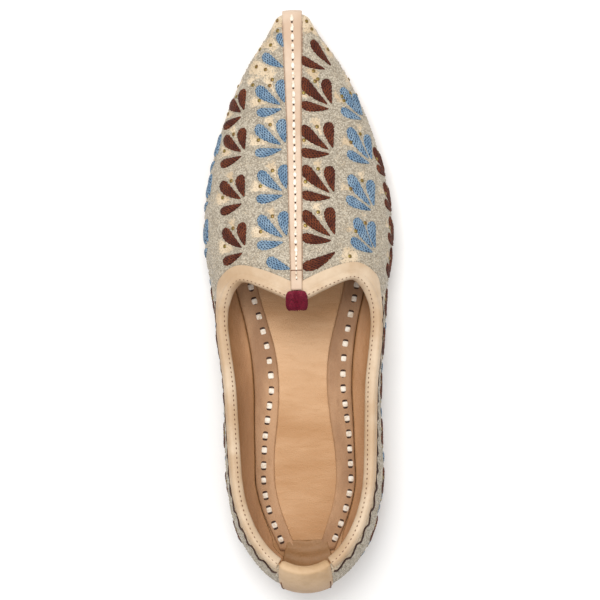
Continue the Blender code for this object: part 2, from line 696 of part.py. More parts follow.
def build():
    for old in list(bpy.data.objects):
        bpy.data.objects.remove(old)
    tan = material("tan_leather", (0.78, 0.54, 0.33), 0.55)
    cloth = material("embroidered_leather", (0.76, 0.65, 0.49), 0.8)
    footbed = material("footbed_leather", (0.62, 0.38, 0.19), 0.6)
    mauve = material("strip_leather", (0.36, 0.2, 0.13), 0.6)
    sole = material("sole_leather", (0.5, 0.32, 0.18), 0.7)
    wool = material("burgundy_wool", (0.13, 0.008, 0.025), 0.9)
    outsole(sole)
    heel_lift(sole)
    insole(footbed)
    for word, side in (("left", 1), ("right", -1)):
        edge_strip("insole_strip_" + word, side, mauve)
        binding("collar_binding_" + word, side, tan)
    upper(cloth)
    ridge_strip(tan)
    heel_tab(tan)
    tassel(wool)


build()
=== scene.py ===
"""The looks of a leather mojari: leaf-fan embroidery, folded collar facing, ridge strip and wool tassel.

Metres, +Z up, the toe towards -Y. Every surface is worked out from the last that the solids are made on.
"""

import bmesh
import bpy
import numpy as np
from mathutils import Matrix, Vector


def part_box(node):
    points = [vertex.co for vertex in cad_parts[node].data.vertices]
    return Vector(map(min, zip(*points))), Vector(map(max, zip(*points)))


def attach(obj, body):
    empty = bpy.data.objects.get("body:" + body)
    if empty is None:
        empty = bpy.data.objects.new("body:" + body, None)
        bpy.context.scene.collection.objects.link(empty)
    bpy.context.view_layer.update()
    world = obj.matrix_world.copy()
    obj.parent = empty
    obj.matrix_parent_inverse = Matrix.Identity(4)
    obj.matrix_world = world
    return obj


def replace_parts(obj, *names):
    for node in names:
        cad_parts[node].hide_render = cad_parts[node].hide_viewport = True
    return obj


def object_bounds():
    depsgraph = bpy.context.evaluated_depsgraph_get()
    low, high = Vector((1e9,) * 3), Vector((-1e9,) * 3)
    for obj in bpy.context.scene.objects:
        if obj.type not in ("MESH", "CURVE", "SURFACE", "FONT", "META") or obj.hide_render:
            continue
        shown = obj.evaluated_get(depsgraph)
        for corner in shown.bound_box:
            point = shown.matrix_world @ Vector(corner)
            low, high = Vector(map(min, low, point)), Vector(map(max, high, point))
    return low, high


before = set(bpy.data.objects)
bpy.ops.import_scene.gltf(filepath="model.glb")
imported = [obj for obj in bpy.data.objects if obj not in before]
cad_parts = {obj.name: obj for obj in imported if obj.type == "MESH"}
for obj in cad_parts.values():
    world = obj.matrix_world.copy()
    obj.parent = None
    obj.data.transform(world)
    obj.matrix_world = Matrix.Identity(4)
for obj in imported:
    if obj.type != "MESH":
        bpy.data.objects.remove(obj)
cad_low, cad_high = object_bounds()

# Driving sizes, as in the solids
MM = 0.001
LENGTH = round(cad_high.y - cad_low.y, 4)
BALL_WIDTH = round(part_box("upper")[1].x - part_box("upper")[0].x, 4)
INSTEP_HEIGHT = 0.052
HEEL_HEIGHT = 0.052
WALL = 0.002
TOE_FILL = 0.005
FILL_REACH = 0.05
NOSE = 0.003
NOSE_POWER = 2.5
NOSE_TUCK = 0.0012
OUTSOLE_THICK = 0.004
WELT = 0.0014
HEEL_LIFT = 0.005
TOE_SPRING = 0.006
ARCH = 0.0015
INSOLE_THICK = 0.0022
EDGE_STRIP_THICK = 0.001
BINDING_THICK = 0.0011
BINDING_INSIDE = 0.003
RIDGE_STRIP_THICK = 0.0012
RIDGE_STRIP_TIP = 0.0088
RIDGE_STRIP_BALL = 0.0062
RIDGE_STRIP_THROAT = 0.0050
HEEL_TAB_THICK = 0.0012
HEEL_TAB_WIDTH = 0.022
HEEL_TAB_FOOT = 0.0165
HEEL_TAB_FLAP = 0.0165
TASSEL_WIDTH = 0.0094
TASSEL_LENGTH = 0.0084
TASSEL_HEIGHT = 0.0052
GAP = 0.0003
HEEL_CENTRE = 0.20
WAIST_REAR = 0.25
WAIST_FRONT = 0.52
SPRING_START = 0.825

# The last's sections: station from the heel as a share of the length, then shares of the named sizes
SECTION_COLUMNS = ("station", "width", "full", "instep", "heel", "tuck", "across", "upward")
SECTIONS = (
    (0.00, 0.822, 0.385, 0.00, 1.270, 0.050, 2.30, 2.30),
    (0.10, 0.824, 0.385, 0.00, 1.230, 0.052, 2.30, 2.30),
    (0.20, 0.826, 0.380, 0.00, 1.200, 0.060, 2.30, 2.30),
    (0.30, 0.830, 0.370, 0.08, 1.105, 0.068, 2.30, 2.30),
    (0.40, 0.850, 0.350, 0.42, 0.730, 0.064, 2.25, 2.30),
    (0.46, 0.900, 0.330, 0.74, 0.350, 0.052, 2.10, 2.25),
    (0.52, 0.934, 0.310, 1.00, 0.010, 0.042, 1.90, 2.20),
    (0.60, 1.000, 0.295, 0.895, 0.00, 0.036, 1.80, 2.15),
    (0.68, 0.970, 0.280, 0.775, 0.00, 0.033, 1.75, 2.10),
    (0.76, 0.862, 0.265, 0.655, 0.00, 0.030, 1.70, 2.05),
    (0.84, 0.690, 0.255, 0.545, 0.00, 0.027, 1.68, 2.00),
    (0.91, 0.474, 0.258, 0.455, 0.00, 0.022, 1.66, 2.00),
    (0.96, 0.265, 0.270, 0.395, 0.00, 0.016, 1.65, 2.00),
    (1.00, 0.135, 0.285, 0.360, 0.00, 0.012, 1.65, 2.00),
)

# The collar: outline and along as shares of the length, across as shares of half the ball width
COLLAR_COLUMNS = ("outline", "rim_across", "rim_along", "band_across", "band_along")
COLLAR = (
    (-0.095, 0.000, 0.001, 0.000, -0.025),
    (-0.078, 0.314, -0.023, 0.284, -0.047),
    (-0.059, 0.556, -0.037, 0.580, -0.060),
    (-0.036, 0.697, -0.025, 0.792, -0.040),
    (-0.010, 0.787, 0.003, 0.834, -0.004),
    (0.025, 0.818, 0.033, 0.843, 0.032),
    (0.070, 0.803, 0.071, 0.829, 0.071),
    (0.145, 0.745, 0.145, 0.771, 0.145),
    (0.200, 0.728, 0.200, 0.755, 0.200),
    (0.254, 0.713, 0.254, 0.741, 0.254),
    (0.300, 0.697, 0.300, 0.726, 0.300),
)
HEEL_COLLAR_COLUMNS = ("turn", "rim", "band")
HEEL_COLLAR = (
    (0.0, 0.216, 0.187),
    (30.0, 0.214, 0.184),
    (60.0, 0.196, 0.163),
    (90.0, 0.156, 0.121),
)

# The two strips on the footbed: along as a share of the length, edges as shares of half the ball width
EDGE_STRIP_COLUMNS = ("along", "inner", "outer")
EDGE_STRIP = (
    (-0.270, 0.400, 0.640),
    (-0.155, 0.540, 0.785),
    (-0.020, 0.460, 0.690),
    (0.038, 0.366, 0.603),
    (0.084, 0.293, 0.553),
    (0.153, 0.258, 0.520),
    (0.198, 0.277, 0.525),
    (0.267, 0.326, 0.530),
    (0.324, 0.322, 0.525),
    (0.362, 0.272, 0.468),
    (0.386, 0.222, 0.414),
    (0.405, 0.180, 0.362),
    (0.432, 0.118, 0.290),
)

# The embroidery's columns of fans. Across is the base's place in plan, in mm towards the outside left,
# or turn is its place round the side, in degrees from the ridge over 90 at the fullest place to 180 at
# the sole. The three petals' directions are in degrees from the right hand, as seen from above with the
# toe up, reach is the size of the fan, and rows are the bases' places along the foot in mm.
FAN_COLUMNS = ("thread", "across", "turn", "upright", "diagonal", "level", "reach", "rows")
FANS = (
    ("brown", None, 128.0, 98.0, 128.0, 165.0, 0.80, (-92.0, -74.0, -55.0, -35.0, -14.0)),
    ("blue", None, 72.0, 108.0, 145.0, 194.0, 1.00, (-64.0, -45.5, -24.5)),
    ("blue", None, 153.0, 98.0, 66.0, 30.0, 0.84, (-4.5, 15.5, 35.5, 55.5, 75.5, 95.5, 115.5)),
    ("brown", None, 97.0, 98.0, 66.0, 32.0, 0.80, (6.5, 26.5, 46.5, 66.5, 86.5, 106.0)),
    ("brown", None, -97.0, 82.0, 114.0, 148.0, 0.80, (9.0, 26.5, 46.5, 66.5, 86.5, 106.0)),
    ("brown", 22.2, None, 106.0, 142.0, 195.0, 1.00, (-83.2, -65.1, -43.6, -21.8)),
    ("blue", 3.6, None, 99.0, 139.0, 183.0, 1.03, (-85.3, -67.0, -46.2, -25.4)),
    ("brown", -17.4, None, 96.0, 131.0, 169.0, 1.14, (-84.3, -63.9, -44.1, -25.0)),
    ("blue", -31.0, None, 88.0, 117.0, 152.0, 1.05, (-79.4,)),
    ("blue", -34.5, None, 88.0, 117.0, 152.0, 1.12, (-59.2, -37.8, -19.0)),
    ("brown", None, -91.0, 84.0, 113.0, 150.0, 0.88, (-54.0, -38.0, -22.5, -8.0)),
    ("blue", None, -153.0, 82.0, 114.0, 150.0, 0.84, (17.5, 35.5, 55.5, 75.5, 95.5, 115.5)),
)

# Where a petal starts and ends, from the base of its fan, and how wide it is, in mm at reach 1
PETAL_COLUMNS = ("name", "start", "end", "width")
PETALS = (
    ("upright", 2.7, 13.6, 5.6),
    ("diagonal", 3.0, 17.8, 5.9),
    ("level", 1.8, 13.8, 5.1),
)

# Petals that stand alone: point and round end in plan, in mm, and width
LONE_PETAL_COLUMNS = ("thread", "from_x", "from_y", "to_x", "to_y", "width")
LONE_PETALS = (
    ("blue", 3.4, -113.0, 6.2, -120.2, 4.2),
    ("blue", 4.1, -104.2, 13.6, -110.9, 5.2),
    ("brown", -16.9, -104.8, -8.6, -116.8, 5.3),
    ("brown", -14.3, -103.0, -2.6, -108.5, 5.0),
    ("brown", -17.0, -20.4, -2.6, -13.6, 6.0),
    ("blue", 2.6, -13.4, 12.9, -18.0, 5.8),
)

# Sequins that stand alone, in plan in mm
LONE_SEQUINS = (
    (9.9, -115.0), (16.6, -105.4), (12.4, -103.7), (9.4, -98.8), (18.3, -97.0), (-9.1, -102.2),
    (-10.9, -98.4), (-21.5, -90.6), (22.4, -16.2), (15.8, -14.2), (31.8, -12.5), (-23.2, -18.4),
    (-10.2, -12.2), (12.0, -11.0), (-29.6, -12.4), (6.7, -126.2), (-6.4, -125.4), (6.6, -121.4),
    (-8.6, -121.9), (-15.6, -112.6), (-25.4, -99.6), (14.9, -113.6), (-28.6, -92.4), (25.4, -97.6),
)

# Soft troughs and swells of the quarters and the vamp: side, the place of the middle and
# the lean along the foot for each mm up, how wide and how far it reaches up and down, and how far out
CREASE_COLUMNS = ("side", "along", "height", "lean", "width", "reach", "out")
CREASES = (
    (1, 6.0, 20.0, 0.30, 5.5, 9.0, -0.50),
    (1, 19.0, 19.0, 0.10, 6.5, 9.0, 0.35),
    (1, 41.0, 20.0, -0.25, 5.0, 8.5, -0.50),
    (1, 63.0, 19.0, 0.20, 6.0, 8.0, 0.35),
    (1, 86.0, 21.0, -0.15, 4.5, 9.0, -0.60),
    (1, 104.0, 20.0, 0.10, 3.5, 9.0, 0.45),
    (1, 113.0, 22.0, 0.15, 3.0, 8.0, -0.50),
    (-1, 2.0, 21.0, -0.20, 5.0, 9.0, -0.45),
    (-1, 24.0, 20.0, 0.15, 6.0, 9.0, 0.35),
    (-1, 49.0, 19.0, -0.15, 5.5, 8.0, -0.50),
    (-1, 74.0, 20.0, 0.25, 5.5, 8.5, 0.40),
    (-1, 95.0, 21.0, -0.10, 4.0, 9.0, -0.55),
    (-1, 110.0, 21.0, 0.10, 3.0, 8.0, 0.40),
    (1, -24.0, 30.0, 0.55, 4.0, 9.0, -0.30),
    (-1, -30.0, 29.0, 0.50, 4.0, 9.0, -0.30),
    (1, -70.0, 24.0, 0.30, 6.0, 9.0, -0.25),
    (-1, -62.0, 25.0, 0.35, 6.0, 9.0, -0.25),
)

# Soft creases across the footbed where the foot bends and the heel presses, in mm
FOOTBED_CREASE_COLUMNS = ("along", "lean", "depth", "width")
FOOTBED_CREASES = (
    (-52.0, 0.10, 0.30, 2.2),
    (-30.0, -0.08, 0.28, 2.0),
    (-4.0, 0.05, 0.22, 1.4),
    (6.0, 0.12, 0.30, 2.0),
    (16.0, -0.06, 0.24, 1.3),
    (27.0, -0.10, 0.34, 1.5),
    (34.0, 0.08, 0.26, 1.2),
    (43.0, -0.04, 0.34, 1.7),
    (51.0, 0.09, 0.26, 1.4),
    (60.0, -0.07, 0.28, 1.8),
    (75.0, -0.05, 0.22, 2.0),
)

# Small shapes, each its length, width and height in mm. Real purl is about 0.3 mm thick, too fine to
# show, so it is drawn coarser.
PURL = (1.0, 0.5, 0.5)
SEQUIN = (1.7, 1.7, 0.6)
FACING_STITCH = (0.95, 0.5, 0.35)
RIDGE_LACE = (2.75, 1.45, 0.8)
RIDGE_HOLE = (0.75, 0.8, 0.3)
STRIP_LACE = (2.45, 2.6, 0.8)
STRIP_SLIT = (1.3, 2.4, 0.3)

# How far apart they are set. The purl's row lies outside a petal's edge, and the rest is on a grid.
PURL_ROW_OUT = 0.6 * MM
PURL_ROW_PITCH = 0.98 * MM
PURL_GRID = 1.15 * MM
FACING_STITCH_PITCH = 2.1 * MM
WAVE_LENGTH = 7.7 * MM

# Where the strips' lacing starts and ends along the foot, and its pitch, in mm
STRIP_LACE_RUN = (-60.5, 113.0, 6.75)

# Padded petals: how high they stand, and their chain stitch. Real rows lie about 0.5 mm apart, too fine
# to show, so they are drawn coarser.
PETAL_HEIGHT = 0.75 * MM
CHAIN_ROW = 0.9 * MM
CHAIN_STITCH = 1.5 * MM

# The finishes' colours as sRGB hex
COLOURS = {
    "tan light": "D3BDA2",
    "tan dark": "B99B7A",
    "ridge light": "D3BCA6",
    "ridge dark": "C2A58B",
    "lining light": "BE8D60",
    "lining dark": "966639",
    "footbed light": "D3A97F",
    "footbed dark": "B98A5C",
    "mauve light": "BF956F",
    "mauve dark": "98704E",
    "sole light": "C79B6B",
    "sole dark": "7E5431",
    "rawhide": "F2EADC",
    "ground light": "D9C5A8",
    "ground dark": "C4AD8D",
    "ground dot": "978469",
    "silver light": "C5BBA8",
    "silver dark": "938877",
    "silver gap": "716659",
    "blue": "68859F",
    "blue worn": "889FB2",
    "blue dark": "243347",
    "brown": "4F200F",
    "brown worn": "70371C",
    "brown dark": "240B05",
    "cord": "4C3226",
    "edging": "8A6248",
    "tab light": "CFB08C",
    "tab mid": "B5936C",
    "tab dark": "966A3E",
    "seam": "7A5238",
    "gold": "8C7C3C",
    "wool": "7E0F2C",
    "wool dark": "4A0618",
    "wool sheen": "C04468",
    "hole": "50392A",
    "floor": "F4F3F2",
}

SIDES = (("left", 1), ("right", -1))

rng = np.random.default_rng(11)


def linear(name):
    """The named sRGB colour as linear light with full alpha."""
    value = np.array([int(COLOURS[name][i : i + 2], 16) for i in (0, 2, 4)]) / 255
    out = np.where(value <= 0.04045, value / 12.92, ((value + 0.055) / 1.055) ** 2.4)
    return (*out.tolist(), 1.0)


def unit(v):
    """The vectors brought to length 1."""
    return v / np.maximum(np.linalg.norm(v, axis=-1, keepdims=True), 1e-9)


def run_along(points):
    """How far along a line of points each of them lies: the running sum of the steps' lengths."""
    return np.concatenate([[0], np.cumsum(np.linalg.norm(np.diff(points, axis=0), axis=-1))])


def entries(table, names):
    """The table's rows, each as its values by the column's name."""
    return [dict(zip(names, row)) for row in table]


def columns(table, names):
    """The table as one array for each named column."""
    return dict(zip(names, np.array(table, float).T))


# The last

def spline(at, knots, values):
    """A cubic through the knots whose slope there is that of the parabola through three neighbours."""
    step = np.diff(knots)
    chord = np.diff(values) / step
    inner = (chord[:-1] * step[1:] + chord[1:] * step[:-1]) / (step[:-1] + step[1:])
    slope = np.concatenate([[1.5 * chord[0] - 0.5 * inner[0]], inner, [1.5 * chord[-1] - 0.5 * inner[-1]]])
    at = np.clip(at, knots[0], knots[-1])
    i = np.clip(np.searchsorted(knots, at, side="right") - 1, 0, len(knots) - 2)
    s = (at - knots[i]) / step[i]
    rise = (3 - 2 * s) * s * s
    lean = step[i] * (slope[i] * s * (1 - s) ** 2 - slope[i + 1] * s * s * (1 - s))
    return values[i] * (1 - rise) + values[i + 1] * rise + lean


SECTION = columns(SECTIONS, SECTION_COLUMNS)
RIM = columns(COLLAR, COLLAR_COLUMNS)
HEEL_RIM = columns(HEEL_COLLAR, HEEL_COLLAR_COLUMNS)
EDGE = columns(EDGE_STRIP, EDGE_STRIP_COLUMNS)

HALF_BALL = BALL_WIDTH / 2
TIP_Y = -LENGTH / 2 + GAP + RIDGE_STRIP_THICK
BACK_Y = LENGTH / 2 - GAP - HEEL_TAB_THICK
HEEL_REACH = LENGTH * HEEL_CENTRE
HEEL_Y = BACK_Y - HEEL_REACH
LOBE_OUTLINE_Y = LENGTH * RIM["outline"][5]
THROAT_OUTLINE_Y = LENGTH * RIM["outline"][0]
THROAT_Y = LENGTH * RIM["rim_along"][0]
BAND_FRONT_Y = LENGTH * RIM["band_along"][0]
SLOPE_STEP = 0.0001
FINE_STATION = np.linspace(-0.02, 1.02, 4161)
FINE = {name: spline(FINE_STATION, SECTION["station"], SECTION[name]) for name in SECTION_COLUMNS}


def section(name, y):
    """A column of SECTIONS at a place along the shoe, read from closely spaced values of its spline."""
    return np.interp(0.5 - np.asarray(y, float) / LENGTH, FINE_STATION, FINE[name])


def half_width(y):
    """Half width of the last at its fullest place."""
    return HALF_BALL * section("width", y)


def full_height(y):
    """Height of the last's fullest place."""
    return INSTEP_HEIGHT * section("full", y)


def crown_height(y):
    """Height of the last's middle line."""
    return INSTEP_HEIGHT * section("instep", y) + HEEL_HEIGHT * section("heel", y)


def tuck(y):
    """How far the upper's foot stands in from its fullest place."""
    return BALL_WIDTH * section("tuck", y)


def ease(s):
    """A smooth step from 0 to 1: 3s^2 - 2s^3."""
    s = np.clip(s, 0.0, 1.0)
    return s * s * (3 - 2 * s)


def underside(y):
    """The outsole's lower face: flat under the ball, raised by the lift at the heel and sprung at the toe."""
    y = np.asarray(y, float)
    front = LENGTH * (0.5 - WAIST_FRONT)
    rear = LENGTH * (0.5 - WAIST_REAR)
    s = np.clip((y - front) / (rear - front), 0, 1)
    spring_y = LENGTH * (0.5 - SPRING_START)
    t = np.clip((spring_y - y) / (spring_y - TIP_Y), 0, 1)
    return HEEL_LIFT * ease(s) + ARCH * np.sin(np.pi * s) ** 2 + TOE_SPRING * t * t


def seat(y):
    """Where the upper and the insole stand: just above the outsole."""
    return underside(y) + OUTSOLE_THICK + GAP


def insole_top(y):
    """The footbed's upper face."""
    return seat(y) + INSOLE_THICK


def nose(y, back=0.0):
    """1 along the shoe, falling to 0 at the tip as a quarter of a rounded square."""
    s = np.clip((TIP_Y + back + NOSE - y) / NOSE, 0, 1)
    return (1 - s**NOSE_POWER) ** (1 / NOSE_POWER)


def side_x(y, inset=0.0, back=0.0):
    """Half width of the last made smaller by inset, measured square to its outline."""
    slope = (half_width(y + SLOPE_STEP) - half_width(y - SLOPE_STEP)) / (2 * SLOPE_STEP)
    return (half_width(y) - inset * np.sqrt(1 + slope**2)) * nose(y, back)


def beside(x, y, inset=0.0, back=0.0):
    """0 on the middle line, or at the heel's centre within the heel's ellipse, and 1 on the outline."""
    side = np.abs(x) / np.maximum(side_x(y, inset, back), 1e-6)
    across = np.abs(x) / (half_width(HEEL_Y) - inset)
    along = (y - HEEL_Y) / (HEEL_REACH - inset)
    return np.where(y > HEEL_Y, np.hypot(across, along), side)


def dome_height(x, y, inset=0.0, back=0.0):
    """Height of the last: from its fullest place up to the crown by (1 - b^across)^(1 / upward)."""
    low = full_height(y)
    share = np.clip(beside(x, y, inset, back), 0, 1)
    rise = (1 - share ** section("across", y)) ** (1 / section("upward", y))
    return low + (crown_height(y) - inset - low) * rise * nose(y, back)


def on_dome(x, y, out=0.0):
    """The point of the outer skin over (x, y), moved out square to the skin, and that normal."""
    x = np.asarray(x, float)
    y = np.asarray(y, float)
    dx = (dome_height(x + SLOPE_STEP, y) - dome_height(x - SLOPE_STEP, y)) / (2 * SLOPE_STEP)
    dy = (dome_height(x, y + SLOPE_STEP) - dome_height(x, y - SLOPE_STEP)) / (2 * SLOPE_STEP)
    normal = unit(np.stack([-dx, -dy, np.ones_like(dx)], -1))
    point = np.stack([x, y, dome_height(x, y)], -1)
    return point + np.asarray(out)[..., None] * normal, normal


def skin_field(p):
    """Under 0 within the last and over 0 outside it: b^across + h^upward - 1, where b is the share of the
    way out to the outline, which stands in by the tuck below the fullest place, and h the share of the
    way up from the fullest place to the crown."""
    x, y, z = np.moveaxis(p, -1, 0)
    low = full_height(y)
    foot = seat(y)
    k = np.clip((z - foot) / (low - foot), 0, 1)
    step_in = tuck(y) * (1 - k) ** 2
    up = np.maximum(z - low, 0) / ((crown_height(y) - low) * np.maximum(nose(y), 0.05))
    return beside(x, y, step_in) ** section("across", y) + up ** section("upward", y) - 1


def field_slope(p):
    """The field's gradient by differences along each axis."""
    steps = np.eye(3) * SLOPE_STEP
    return np.stack([(skin_field(p + s) - skin_field(p - s)) / (2 * SLOPE_STEP) for s in steps], -1)


def crease(p):
    """How far the skin stands out at each point: each trough or swell is a bell across and a bell up."""
    x, y, z = np.moveaxis(p, -1, 0)
    out = np.zeros(x.shape)
    for one in entries(CREASES, CREASE_COLUMNS):
        up = z - one["height"] * MM
        across = (y - one["along"] * MM - one["lean"] * up) / (one["width"] * MM)
        bell = np.exp(-(across**2) - (up / (one["reach"] * MM)) ** 2)
        out += np.where(x * one["side"] > 0, one["out"] * MM, 0) * bell
    return out


def to_skin(p, out=0.0):
    """The points brought onto the skin by Newton steps along the field's gradient, then moved out, with
    the creases."""
    for _ in range(5):
        slope = field_slope(p)
        steep = np.maximum(np.linalg.norm(slope, axis=-1), 1e-9)
        move = np.clip(skin_field(p) / steep, -4 * MM, 4 * MM)
        p = p - slope * (move / steep)[..., None]
    normal = unit(field_slope(p))
    return p + normal * (np.asarray(out) + crease(p))[..., None], normal


HEEL_BEND = (half_width(HEEL_Y) + HEEL_REACH) / 2


def on_last(travel, turn):
    """Point of the skin. Travel runs along the foot and on round the heel's ellipse, in metres. Turn goes
    from 0 at the middle line over 90 at the fullest place to 180 at the sole, with the side's sign."""
    travel, turn = np.broadcast_arrays(np.asarray(travel, float), np.asarray(turn, float))
    over = np.radians(np.minimum(np.abs(turn), 90))
    down = np.clip(np.abs(turn) / 90 - 1, 0, 1)
    bend = np.clip((travel - HEEL_Y) / HEEL_BEND, 0, np.pi / 2)
    y = np.minimum(travel, HEEL_Y)
    out = np.sin(over) ** (2 / section("across", y))
    step_in = tuck(y) * down**2
    x = np.where(travel > HEEL_Y, (half_width(HEEL_Y) - step_in) * np.cos(bend), side_x(y, step_in)) * out
    y = y + np.where(travel > HEEL_Y, (HEEL_REACH - step_in) * np.sin(bend) * out, 0)
    low = full_height(y)
    z = low + (crown_height(y) - low) * np.cos(over) ** (2 / section("upward", y))
    z = np.where(down > 0, low + (seat(y) - low) * down, z)
    return np.stack([x * np.sign(turn), y, z], -1)


def toe_shift(y, back):
    """How far the lining stands behind the outer skin: all of back at the tip, none FILL_REACH from it."""
    return back * np.clip((TIP_Y + FILL_REACH - y) / FILL_REACH, 0, 1) ** 2


def heel_tab_turn(x):
    """The turn round the heel at which the rim has this x."""
    return float(np.arcsin(x / ((1 - HEEL_COLLAR[0][1]) * half_width(HEEL_Y))))


def stations(tab_steps, heel_steps, side_steps, lobe_steps, vamp_steps, nose_steps):
    """Turn round the heel and place along the side of each upright line, and how many end at the rim."""
    tab = heel_tab_turn(HEEL_TAB_WIDTH / 2)
    turn = np.linspace(0, tab, tab_steps + 1)
    turn = np.concatenate([turn, np.linspace(tab, np.pi / 2, heel_steps + 1)[1:]])
    heel_y = HEEL_Y + HEEL_REACH * np.cos(turn)
    side = np.linspace(HEEL_Y, LOBE_OUTLINE_Y, side_steps + 1)[1:]
    side = np.concatenate([side, np.linspace(LOBE_OUTLINE_Y, THROAT_OUTLINE_Y, lobe_steps + 1)[1:]])
    vamp = np.linspace(THROAT_OUTLINE_Y, TIP_Y + NOSE, vamp_steps + 1)[1:-1]
    tip = TIP_Y + NOSE * (1 - np.sin(np.linspace(0, np.pi / 2, nose_steps)))
    y = np.concatenate([heel_y, side, vamp, tip])
    turns = np.full(len(y), np.pi / 2)
    turns[: len(turn)] = turn
    return turns, y, len(turn) + len(side)


def rim_point(turn, y, part):
    """The collar's rim or the binding's lower edge in plan, for each station behind the throat."""
    share = spline(np.degrees(turn), HEEL_RIM["turn"], HEEL_RIM[part])
    heel_x = (1 - share) * half_width(HEEL_Y) * np.sin(turn)
    heel_y = HEEL_Y + (1 - share) * HEEL_REACH * np.cos(turn)
    side_share = y / LENGTH
    across = HALF_BALL * spline(side_share, RIM["outline"], RIM[part + "_across"])
    along = LENGTH * spline(side_share, RIM["outline"], RIM[part + "_along"])
    return np.where(y > HEEL_Y, heel_x, across), np.where(y > HEEL_Y, heel_y, along)


def skin(spread, tuck_steps, dome_steps, inset, back):
    """Half of one skin of the upper, heel to tip by sole to top: the tuck, then the dome.

    Below the fullest place a point stands inside the outline by tuck times (1 - k)^2, and above it a
    straight line in plan runs from the outline to the rim or the middle line, its steps growing as squares.
    """
    turn, y, rim_count = spread

    def outline(inward, behind):
        """The last's outline in plan, made smaller."""
        at = y + toe_shift(y, behind)
        heel_x = (half_width(HEEL_Y) - inward) * np.sin(turn)
        heel_y = HEEL_Y + (HEEL_REACH - inward) * np.cos(turn)
        heel = y >= HEEL_Y
        return np.where(heel, heel_x, side_x(at, inward, behind)), np.where(heel, heel_y, at)

    rows = []
    for k in np.linspace(0, 1, tuck_steps + 1)[:-1]:
        under = (1 - k) ** 2
        px, py = outline(inset + tuck(y) * under, back + NOSE_TUCK * under)
        foot = seat(py)
        rows.append(np.stack([px, py, foot + (full_height(py) - foot) * k], -1))
    start_x, start_y = outline(inset, back)
    rim_x, rim_y = rim_point(turn[:rim_count], y[:rim_count], "rim")
    _, normal = on_dome(rim_x, rim_y)
    rim_x = rim_x - inset * normal[:, 0]
    rim_y = rim_y - inset * normal[:, 1]
    rim_x[[0, -1]] = 0.0
    forward = (y[rim_count:] - THROAT_OUTLINE_Y) / (TIP_Y - THROAT_OUTLINE_Y)
    end_x = np.concatenate([rim_x, 0 * forward])
    end_y = np.concatenate([rim_y, THROAT_Y + forward * (TIP_Y - THROAT_Y)])
    end_y = end_y + toe_shift(end_y, back)
    for s in np.linspace(0, 1, dome_steps + 1):
        px = start_x + (end_x - start_x) * s * s
        py = start_y + (end_y - start_y) * s * s
        rows.append(np.stack([px, py, dome_height(px, py, inset, back)], -1))
    grid = np.stack(rows, 1)
    grid[0, :, 0] = 0.0
    grid[-1, :, 0] = 0.0
    return grid


# Making meshes

def add_piece(name, points, faces, finishes, uv=None, which=None, values=None):
    """One piece in place: points and faces as given, smooth, with its own UV map for each corner's point,
    a finish number for each face and named values for each point where they are given."""
    mesh = bpy.data.meshes.new(name)
    mesh.from_pydata(np.asarray(points, float).reshape(-1, 3), [], faces)
    mesh.shade_smooth()
    for finish in finishes:
        mesh.materials.append(finish)
    if which is not None:
        mesh.polygons.foreach_set("material_index", np.asarray(which, np.int32))
    if uv is not None:
        corners = np.zeros(len(mesh.loops), np.int32)
        mesh.loops.foreach_get("vertex_index", corners)
        layer = mesh.uv_layers.new(name="UVMap")
        layer.data.foreach_set("uv", np.asarray(uv, float).reshape(-1, 2)[corners].ravel())
    for key, value in (values or {}).items():
        layer = mesh.attributes.new(key, "FLOAT", "POINT")
        layer.data.foreach_set("value", np.asarray(value, float).ravel())
    made = bpy.data.objects.new(name, mesh)
    bpy.context.scene.collection.objects.link(made)
    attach(made, "root")
    return made


def merge(piece, distance=1e-6):
    """Doubles merged and normals turned outwards, for a piece whose sheets share an edge."""
    shape = bmesh.new()
    shape.from_mesh(piece.data)
    bmesh.ops.remove_doubles(shape, verts=shape.verts, dist=distance)
    bmesh.ops.dissolve_degenerate(shape, edges=shape.edges, dist=distance)
    bmesh.ops.recalc_face_normals(shape, faces=shape.faces)
    shape.to_mesh(piece.data)
    shape.free()
    return piece


def quads(numbers):
    """The faces between neighbours of a grid of vertex numbers."""
    corners = (numbers[:-1, :-1], numbers[1:, :-1], numbers[1:, 1:], numbers[:-1, 1:])
    return np.stack(corners, -1).reshape(-1, 4)


def ring_quads(numbers):
    """The faces between neighbouring rings of vertex numbers, each ring closed on itself."""
    return quads(np.concatenate([numbers, numbers[:, :1]], 1))


def loft(name, sections, finish_used, levels=0):
    """A body whose sections are closed rings of points, with a flat end at the first and the last, and
    with that many Catmull-Clark divisions."""
    count, ring = sections.shape[:2]
    number = np.arange(count * ring).reshape(count, ring)
    faces = ring_quads(number).tolist() + [number[0].tolist(), number[-1][::-1].tolist()]
    made = merge(add_piece(name, sections, faces, [finish_used]))
    if levels:
        divide = made.modifiers.new("smooth", "SUBSURF")
        divide.levels = levels
        divide.render_levels = levels
    return made


